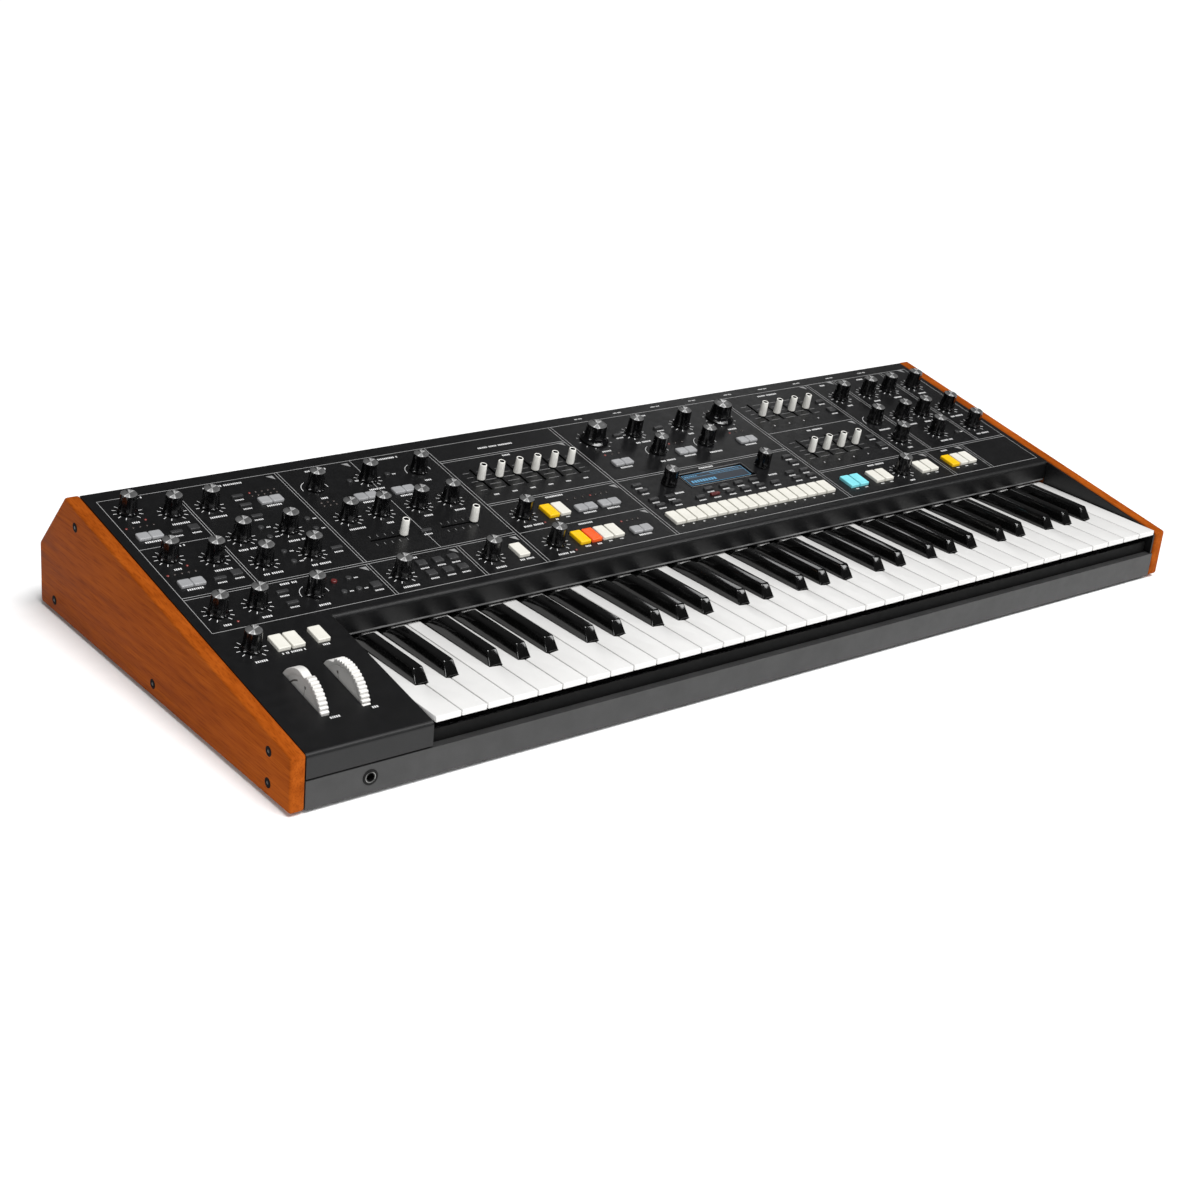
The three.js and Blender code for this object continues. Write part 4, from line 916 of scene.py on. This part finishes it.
def moving_faders():
    for i in range(MIXER_FADERS):
        node = f"mixer_fader_{i + 1}"
        piece = Piece(node + "_cap")
        fader_cap(piece, MIXER_X + i * FADER_PITCH, MIXER_V)
        piece.build(node, "white_cap", node)
    piece = Piece("wave_mix_fader_cap")
    fader_cap(piece, WAVE_MIX_X[0] + FADER_TRAVEL / 2, WAVE_MIX_V, True)
    piece.build("wave_mix_fader", "white_cap", "wave_mix_fader")


moving_faders()


def large_button(piece, x, v, material):
    pad(piece, x, v, 11.0, 18.5, -3.0, 2.6, 1.0, 0.7, material, PANEL, 0.12)


def moving_buttons():
    for node, x, v, slot in MOVING_BUTTONS:
        piece = Piece(node + "_cap")
        large_button(piece, x, v, COLOURED[slot])
        slab(piece, x - 2, x + 2, v - 2, v + 2, -11.0, -2.0, KNOB, PANEL, 0.3, 1)
        piece.build(node, slot, node)


moving_buttons()


def control_board():
    """The board with everything on it that has no body of its own."""
    piece = Piece("control_board_assembly")
    low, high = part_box("control_board")
    left, right = low.x / MM - KEY_LEFT, high.x / MM - KEY_LEFT
    pad(piece, (left + right) / 2, up_slope(252), right - left, 196, -14.6, -13, 2, 0.3, BOARD, PANEL)
    for x, v in FIXED_KNOBS:
        knob(piece, x, v, SMALL)
        turned(piece, ((3.0, -13.0), (3.0, 1.2)), 16, NICKEL, PANEL, x, v)
    for slot_v in ENVELOPE_SLOTS:
        for i in range(ENVELOPE_FADERS):
            fader_cap(piece, ENVELOPE_X + i * FADER_PITCH, slot_v + ENVELOPE_REST)
    fader_cap(piece, WAVE_MIX_X[1] + FADER_TRAVEL / 2, WAVE_MIX_V, True)
    for first_x, v, colours in FIXED_BUTTON_GROUPS:
        for i, colour in enumerate(colours):
            large_button(piece, first_x + i * BUTTON_PITCH, v, COLOURED[colour])
    for x, v in BUTTON_PAIRS:
        for side in (-1, 1):
            centre = x + side * PAIR_PITCH / 2
            slab(piece, centre - 5, centre + 5, v - 4.2, v + 4.2, -13, 0.1, GREY_CAP, PANEL)
            pad(piece, centre, v, 10.7, 9.8, 0.05, 2.4, 1.4, 0.9, GREY_CAP, PANEL, 0.15)
    flat, square, round_one = (10.5, 3.6, 0.8, 0.5), (9.0, 7.5, 0.8, 0.6), (5.2, 5.2, 2.5, 0.6)
    for places, (width, length, corner, edge), material in (
        (FLAT_BUTTONS, flat, SMALL_BLACK),
        (SQUARE_BUTTONS, square, SMALL_BLACK),
        (ROUND_BUTTONS, round_one, SMALL_BLACK),
        ((LIT_BUTTON,), flat, DIM_RED),
        ((LIT_ROUND_BUTTON,), round_one, DIM_RED),
    ):
        for x, y in places:
            pad(piece, x, up_slope(y), width, length, 0.0, 1.9, corner, edge, material, PANEL)
    return piece.build("case", "knob", "control_board")


control_board()


# ---------- print on the panel ----------
def film(piece, outline, material=INK, place=PANEL):
    """A closed film of ink on the panel: the outline runs anticlockwise, seen from above."""
    count = len(outline)
    points = [(x, v, z) for z in (INK_BOTTOM, INK_HEIGHT) for x, v in outline]
    faces = [tuple(reversed(range(count))), tuple(range(count, 2 * count))]
    for i in range(count):
        j = (i + 1) % count
        faces.append((i, j, count + j, count + i))
    piece.add(points, faces, material, place)


def ink_bar(piece, x0, x1, v0, v1, material=INK):
    film(piece, ((x0, v0), (x1, v0), (x1, v1), (x0, v1)), material)


def across(piece, y, x0, x1, material=LINE_INK):
    v = up_slope(y)
    ink_bar(piece, x0, x1, v - LINE_WIDTH / 2, v + LINE_WIDTH / 2, material)


def upright(piece, x, y0, y1, material=LINE_INK):
    ink_bar(piece, x - LINE_WIDTH / 2, x + LINE_WIDTH / 2, up_slope(y0), up_slope(y1), material)


LEFT_LINE, RIGHT_LINE, BOTTOM_LINE, TOP_LINE = -100.2, 843.3, 155.2, 352.5
SPLIT_TOP, SPLIT_BOTTOM = 204.4, 201.6  # the double line between the two ranks of sections
UPRIGHTS = (
    (SPLIT_TOP, TOP_LINE, (-34.6, -32.2, 63.6, 66.4, 139.2, 694.4, 697.8, 733.8, 737.2, 803.8, 807.2)),
    (BOTTOM_LINE, TOP_LINE, (LEFT_LINE, 215, 218.4, 358.4, 361.8, 574.4, 577.8, RIGHT_LINE)),
    (BOTTOM_LINE, SPLIT_BOTTOM, (63.6, 66.4, 152, 155, 721, 724.4, 774.4, 777.8)),
)
ACROSSES = (
    (LEFT_LINE, RIGHT_LINE, (TOP_LINE, BOTTOM_LINE)),
    (LEFT_LINE, -34.6, (276.4,)),
    (LEFT_LINE, 215, (SPLIT_TOP, SPLIT_BOTTOM)),
    (577.8, RIGHT_LINE, (SPLIT_TOP, SPLIT_BOTTOM)),
    (218.4, 358.4, (327, 324.2, 251, 248.2, SPLIT_BOTTOM)),
    (361.8, 574.4, (251, 248.2)),
    (577.8, 694.4, (279,)),
)


def frame_lines(piece):
    for y0, y1, places in UPRIGHTS:
        for x in places:
            upright(piece, x, y0, y1)
    for x0, x1, heights in ACROSSES:
        for y in heights:
            across(piece, y, x0, x1)


def label(piece, x, y, words, height=2.3, material=INK):
    """A row of short dashes in place of a printed label: words is how many dashes each word has."""
    v = up_slope(y)
    dash, gap, space = 0.5 * height, 0.3 * height, 0.7 * height
    total = sum(words) * (dash + gap) + (len(words) - 1) * space
    left = x - total / 2
    for number, count in enumerate(words):
        for i in range(count):
            narrow = 0.35 * dash if (i * 7 + count * 3 + number) % 5 == 2 else 0.0
            ink_bar(piece, left, left + dash - narrow, v - height / 2, v + height / 2, material)
            left += dash + gap - narrow
        left += space


def tick_ring(piece, x, v, inner, outer, width=0.5):
    for i in range(11):
        angle = math.radians(-150 + 30 * i)
        place = PANEL @ Matrix.Translation((x, v, 0)) @ Matrix.Rotation(-angle, 4, "Z")
        half = width / 2
        film(piece, ((-half, inner), (half, inner), (half, outer), (-half, outer)), INK, place)


def arc_mark(piece, x, v, radius, start, end, width=0.5):
    """A printed arc: angles are clockwise from straight up the slope, in degrees."""
    steps = 12
    angles = [math.radians(start + (end - start) * i / steps) for i in range(steps + 1)]
    inner = [(x + radius * math.sin(angle), v + radius * math.cos(angle)) for angle in angles]
    reach = radius + width
    outer = [(x + reach * math.sin(angle), v + reach * math.cos(angle)) for angle in angles]
    film(piece, inner + outer[::-1])


def corner_marks(piece):
    size = 3.2
    for x, y in (
        (57, 346), (58.6, 195.6), (132, 346), (146, 195.6), (209, 196), (352, 322), (353.4, 242),
        (353.4, 196.4),
        (688, 348), (688, 273), (728, 349), (835, 349), (715, 196.4), (768, 196.4),
    ):
        v = up_slope(y)
        film(piece, ((x - size, v + size), (x + size, v - size), (x + size, v + size)), FAINT_INK)


def fader_scales(piece):
    for step in range(5):
        y = 273 + 7.3 * step
        for i in range(5):
            x = MIXER_X + i * FADER_PITCH
            across(piece, y, x + 4, x + FADER_PITCH - 4, FAINT_INK)
        across(piece, y, 227, 234, FAINT_INK)
        across(piece, y, 342, 349, FAINT_INK)
        for base in (301.6, 227.0):
            for i in range(3):
                x = ENVELOPE_X + i * FADER_PITCH
                across(piece, base + 7.6 * step, x + 4, x + FADER_PITCH - 4, FAINT_INK)
            last_x = ENVELOPE_X + 3 * FADER_PITCH
            across(piece, base + 7.6 * step, ENVELOPE_X - 11, ENVELOPE_X - 4, FAINT_INK)
            across(piece, base + 7.6 * step, last_x + 4, last_x + 11, FAINT_INK)
    for centre in WAVE_MIX_X:
        for i in range(5):
            x = centre - 15 + 7.5 * i
            for y in (224.5, 236.5):
                upright(piece, x, y - 1.5, y + 1.5, FAINT_INK)


KNOB_WORDS = ((4,), (9,), (4,), (9,), (4,), (5,), (6,), (9,), (5, 6), (6, 3), (3, 6), (3, 6))
MOVING_BUTTON_WORDS = (
    (-52.7, BLOCK_BUTTON_ROW, (1, 2, 6, 1)), (-24.6, BLOCK_BUTTON_ROW, (4,)), (201.6, BUTTON_ROW, (3, 5)),
    (266.6, ARP_BUTTON_ROW, (2,)), (267, BUTTON_ROW, (4,)), (279.5, BUTTON_ROW, (3,)),
)
ARC_KNOBS = (
    (2.2, ROW_BOTTOM), (85.5, ROW_TOP), (191.2, ROW_TOP), (439.3, ROW_ENVELOPE), (499.6, ROW_ENVELOPE),
    (715.6, ROW_SECOND),
)
LABEL_DROP = 16.5  # from a knob's middle down to its label
LARGE_LABEL_DROP = 21
TICKS = (9.4, 12.6, 0.6)
LARGE_TICKS = (15.4, 17.2)
ARC_RADIUS = 12.0


def panel_print():
    piece = Piece("panel_print")
    frame_lines(piece)
    corner_marks(piece)
    fader_scales(piece)
    for number, (x, v) in enumerate(FIXED_KNOBS):
        if (x, v) in ARC_KNOBS:
            arc_mark(piece, x, v, ARC_RADIUS, -95, -22)
            arc_mark(piece, x, v, ARC_RADIUS, 22, 95)
        else:
            tick_ring(piece, x, v, *TICKS)
        label(piece, x, v * math.cos(SLOPE) - LABEL_DROP, KNOB_WORDS[number % len(KNOB_WORDS)])
    for node, x, v, size in MOVING_KNOBS:
        if size == LARGE:
            tick_ring(piece, x, v, *LARGE_TICKS)
        elif size == SMALL:
            tick_ring(piece, x, v, *TICKS)
        drop = LARGE_LABEL_DROP if size == LARGE else LABEL_DROP
        label(piece, x, v * math.cos(SLOPE) - drop, (6,))
    for x, v in BUTTON_PAIRS:
        label(piece, x, v * math.cos(SLOPE) - 7.6, (8,))
    for x, y in FLAT_BUTTONS + (LIT_BUTTON,):
        label(piece, x, y - 4.9, (6,), 1.8)
    for x, y in SQUARE_BUTTONS:
        label(piece, x, y - 6.8, (6,), 1.8)
    for x, y in ROUND_BUTTONS:
        label(piece, x + 7.4, y, (3,), 1.6)
    for i in range(MIXER_FADERS):
        label(piece, MIXER_X + i * FADER_PITCH, 263.5, (4,), 1.9)
    for i in range(ENVELOPE_FADERS):
        for y in (291.5, 217.0):
            label(piece, ENVELOPE_X + i * FADER_PITCH, y, (1,), 1.7)
    for first_x, v, colours in FIXED_BUTTON_GROUPS:
        words = (2 if len(colours) > 3 else 4,)
        for i in range(len(colours)):
            label(piece, first_x + i * BUTTON_PITCH, v * math.cos(SLOPE) - 12.2, words, 1.4)
    for x, v, words in MOVING_BUTTON_WORDS:
        label(piece, x, v * math.cos(SLOPE) - 12.8, words, 2.1)
    for x, words in ((-66, (5,)), (-32, (3,))):
        label(piece, x, 32.5, words)
    for x, y, words in (
        (-66, 349, (3, 1)), (-66, 273, (3, 1)), (12, 346.5, (10, 10)), (102, 346.5, (10, 1)),
        (176, 346.5, (10, 1)),
        (288, 338, (6, 5, 9)), (288, 320.5, (5,)), (288, 245, (11,)), (288, 197.5, (9,)), (468, 346.5, (7,)),
        (468, 245, (10,)), (636, 346.5, (6, 8)), (636, 273, (3, 8)), (715, 347, (4,)), (770, 347, (5,)),
        (-10, 197.5, (5, 3)), (102, 197.5, (11,)), (186, 197.5, (5,)), (650, 197.5, (5, 7)),
        (748, 197.5, (5,)),
    ):
        label(piece, x, y, words, 2.3)
    for i in range(9):
        label(piece, 400 + i * 48, 358.8, (3 + i % 3, 4), 1.5)
    return piece.build("case", "white_cap")


panel_print()


def indicator(piece, x, y, material):
    turned(piece, ((1.1, 0.0), (1.05, 0.35), (0.7, 0.62), (0.2, 0.7)), 12, material, PANEL, x, up_slope(y))


def indicators():
    piece = Piece("indicator_lights")
    for row_y in (308, 236.4):
        for i in range(5):
            indicator(piece, -95.6 + 6 * i, row_y, RED_LIGHT if i == 0 else DARK_LIGHT)
    for x, y in ((-74.6, 316.4), (-74.4, 245), (-74, 163.4), (252, 209.8), (252, 163.4)):
        indicator(piece, x, y, RED_LIGHT)
    for i in range(5):
        for y in (329, 324):
            indicator(piece, 27 + 5.9 * i, y, RED_LIGHT if (i, y) == (0, 329) else DARK_LIGHT)
    for x in (78, 84, 90):
        for y in (296.4, 291.4):
            indicator(piece, x, y, DARK_LIGHT)
    for first in (382, 460, 538):
        for i in range(3):
            indicator(piece, first + 8.2 * i, 292.4, RED_LIGHT if i == 0 else DARK_LIGHT)
    for i, x in enumerate((295.5, 304, 313, 321.6, 327.6, 334, 340)):
        indicator(piece, x, 236, RED_LIGHT if i == 3 else DARK_LIGHT)
    for i in range(4):
        indicator(piece, 321.6 + 6.2 * i, 189.4, RED_LIGHT if i == 0 else DARK_LIGHT)
    return piece.build("case", "orange_cap")


indicators()


# ---------- display ----------
def display():
    piece = Piece("display_screen")
    half_w, half_h = DISPLAY_WIDTH / 2 - 0.4, DISPLAY_HEIGHT / 2 - 0.4
    pad(piece, DISPLAY_X, DISPLAY_V, 2 * half_w, 2 * half_h, -4.0, -0.35, 0.6, 0.2, GLASS, PANEL)
    surface = -0.3

    def lit(x0, x1, v0, v1, material, rise=0.0):
        z = surface + rise
        corners = ((x0, v0), (x1, v0), (x1, v1), (x0, v1))
        points = [(x, v, h) for h in (z - 0.015, z) for x, v in corners]
        sides = [(i, (i + 1) % 4, 4 + (i + 1) % 4, 4 + i) for i in range(4)]
        piece.add(points, [(3, 2, 1, 0), (4, 5, 6, 7), *sides], material, PANEL)

    x0, x1 = DISPLAY_X - half_w + 2, DISPLAY_X + half_w - 2
    v0, v1 = DISPLAY_V - half_h + 2, DISPLAY_V + half_h - 2
    lit(x0, x1, v0, v1, SCREEN_DEEP)
    edge = 0.5
    borders = (
        (x0, x1, v0, v0 + edge), (x0, x1, v1 - edge, v1), (x0, x0 + edge, v0, v1), (x1 - edge, x1, v0, v1),
    )
    for bar in borders:
        lit(*bar, SCREEN_BLUE, 0.02)
    lit(x0, x1, v1 - 5.4, v1 - 5.0, SCREEN_BLUE, 0.02)
    for i in range(8):
        left = x0 + 34 + i * 4.6
        lit(left, left + 3.4, v1 - 3.4, v1 - 2.8, SCREEN_BLUE, 0.02)
        lit(left, left + 0.5, v1 - 3.4, v1 - 1.4, SCREEN_BLUE, 0.02)
    for i in range(6):
        lit(x0 + 2 + i * 2.6, x0 + 3.8 + i * 2.6, v1 - 3.8, v1 - 2.2, SCREEN_BLUE, 0.02)
    for i in range(9):
        lit(x0 + 4 + i * 3.4, x0 + 6.4 + i * 3.4, v0 + 3.2, v0 + 7.2, SCREEN_BLUE, 0.02)
    frame_width = 1.0
    outer_w, outer_h = DISPLAY_WIDTH / 2 + frame_width, DISPLAY_HEIGHT / 2 + frame_width
    for a, b, c, d in (
        (-outer_w, outer_w, -outer_h, -outer_h + frame_width),
        (-outer_w, outer_w, outer_h - frame_width, outer_h),
        (-outer_w, -outer_w + frame_width, -outer_h, outer_h),
        (outer_w - frame_width, outer_w, -outer_h, outer_h),
    ):
        x0, x1, v0, v1 = DISPLAY_X + a, DISPLAY_X + b, DISPLAY_V + c, DISPLAY_V + d
        slab(piece, x0, x1, v0, v1, 0.02, 0.5, KNOB, PANEL, 0.15, 1)
    return piece.build("case", "window", "display_window")


display()


# ---------- sockets ----------
def headphone_ring():
    low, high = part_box("headphone_jack")
    x = (low.x + high.x) / 2 / MM
    z = (low.z + high.z) / 2 / MM
    place = Matrix.Translation((x, FRONT_Y + 0.6, z)) @ Matrix.Rotation(math.pi / 2, 4, "X")
    piece = Piece("headphone_ring")
    for outline, material in (
        (((6.4, 0.0), (6.3, 0.5), (5.8, 0.7), (4.8, 0.6), (4.35, 0.2)), SLIP_BLACK),
        (((4.4, 0.1), (4.35, 0.5), (4.1, 0.6), (3.8, 0.4), (3.75, -0.5)), NICKEL),
        (((3.8, -0.6), (3.4, -0.5), (3.3, -4.0)), SLIP_BLACK),
    ):
        turned(piece, outline, 40, material, place, top=False)
    return piece.build("case", "socket")


headphone_ring()


def rear_details():
    piece = Piece("rear_fittings")
    face_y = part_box("rear_panel")[1].y / MM
    turn = Matrix.Rotation(-math.pi / 2, 4, "X")
    for i in range(6):
        place = Matrix.Translation((KEY_LEFT + 500 + 40 * i, face_y, 31)) @ turn
        nut = ((6.6, 0.0), (6.6, 1.2), (6.2, 1.5), (5.2, 1.5), (5.1, 0.5))
        turned(piece, nut, 6, NICKEL, place, top=False)
        turned(piece, ((5.0, 0.5), (4.8, 2.0), (3.5, 2.0), (3.35, 0.2)), 32, BLACK_METAL, place, top=False)
    for x in (-460, -230, 0, 230, 460):
        place = Matrix.Translation((x, face_y, 12)) @ turn
        turned(piece, ((2.9, 0.0), (2.6, 0.9), (1.6, 1.3), (0.6, 1.3), (0.5, 0.6)), 20, BLACK_METAL, place)
    return piece.build("case", "grey_steel")


rear_details()


# ---------- stage, light and camera ----------
def stage():
    size = 60.0
    mesh = bpy.data.meshes.new("floor")
    corners = [(-size, -size, 0), (size, -size, 0), (size, size, 0), (-size, size, 0)]
    mesh.from_pydata(corners, [], [(0, 1, 2, 3)])
    floor = bpy.data.objects.new("floor", mesh)
    floor.data.materials.append(moulded("floor_paper", 0.93, 0.95, 0.9, 0.02, 30.0, 0.02))
    bpy.context.scene.collection.objects.link(floor)
    world = bpy.data.worlds.new("studio")
    world.use_nodes = True
    background = world.node_tree.nodes["Background"]
    background.inputs["Color"].default_value = (1.0, 1.0, 1.0, 1.0)
    # the camera sees a white studio behind the floor, and the object is lit by a dim one
    rays = world.node_tree.nodes.new("ShaderNodeLightPath")
    strength = world.node_tree.nodes.new("ShaderNodeMapRange")
    strength.inputs["To Min"].default_value = 0.045
    strength.inputs["To Max"].default_value = 1.0
    world.node_tree.links.new(rays.outputs["Is Camera Ray"], strength.inputs["Value"])
    world.node_tree.links.new(strength.outputs["Result"], background.inputs["Strength"])
    bpy.context.scene.world = world
    bpy.context.scene.view_settings.view_transform = "Standard"


def hang(light, place, direction):
    lamp = bpy.data.objects.new(light.name, light)
    lamp.location = place
    lamp.rotation_euler = direction.to_track_quat("-Z", "Y").to_euler()
    bpy.context.scene.collection.objects.link(lamp)


def softbox(name, place, target, size, power):
    light = bpy.data.lights.new(name, "AREA")
    light.shape = "RECTANGLE"
    light.size, light.size_y = size
    light.energy = power
    hang(light, place, Vector(target) - Vector(place))


def camera():
    lens = bpy.data.cameras.new("camera")
    lens.sensor_width = 36.0
    lens.lens = 61.0
    view = bpy.data.objects.new("camera", lens)
    view.location = (-1.144, -1.2942, 0.7334)
    view.rotation_euler = tuple(math.radians(angle) for angle in (66.464, -5.089, -38.033))
    bpy.context.scene.collection.objects.link(view)
    bpy.context.scene.camera = view


def overhead(direction, strength, spread):
    """A sheet of even light from above, as from a large diffuser."""
    light = bpy.data.lights.new("overhead_light", "SUN")
    light.energy = strength
    light.angle = math.radians(spread)
    hang(light, (0, 0, 0), -Vector(direction))


stage()
overhead((0.05, -0.45, 1.0), 3.8, 36)
softbox("key_light", (1.35, -1.25, 1.35), (0.1, 0, 0.05), (0.5, 0.9), 9.0)
softbox("side_light", (-1.2, -1.15, 0.65), (-0.45, -0.1, 0.05), (0.5, 0.5), 6.5)
softbox("rear_light", (1.9, 1.6, 1.5), (0.2, 0.1, 0.05), (0.4, 0.6), 1.2)
camera()
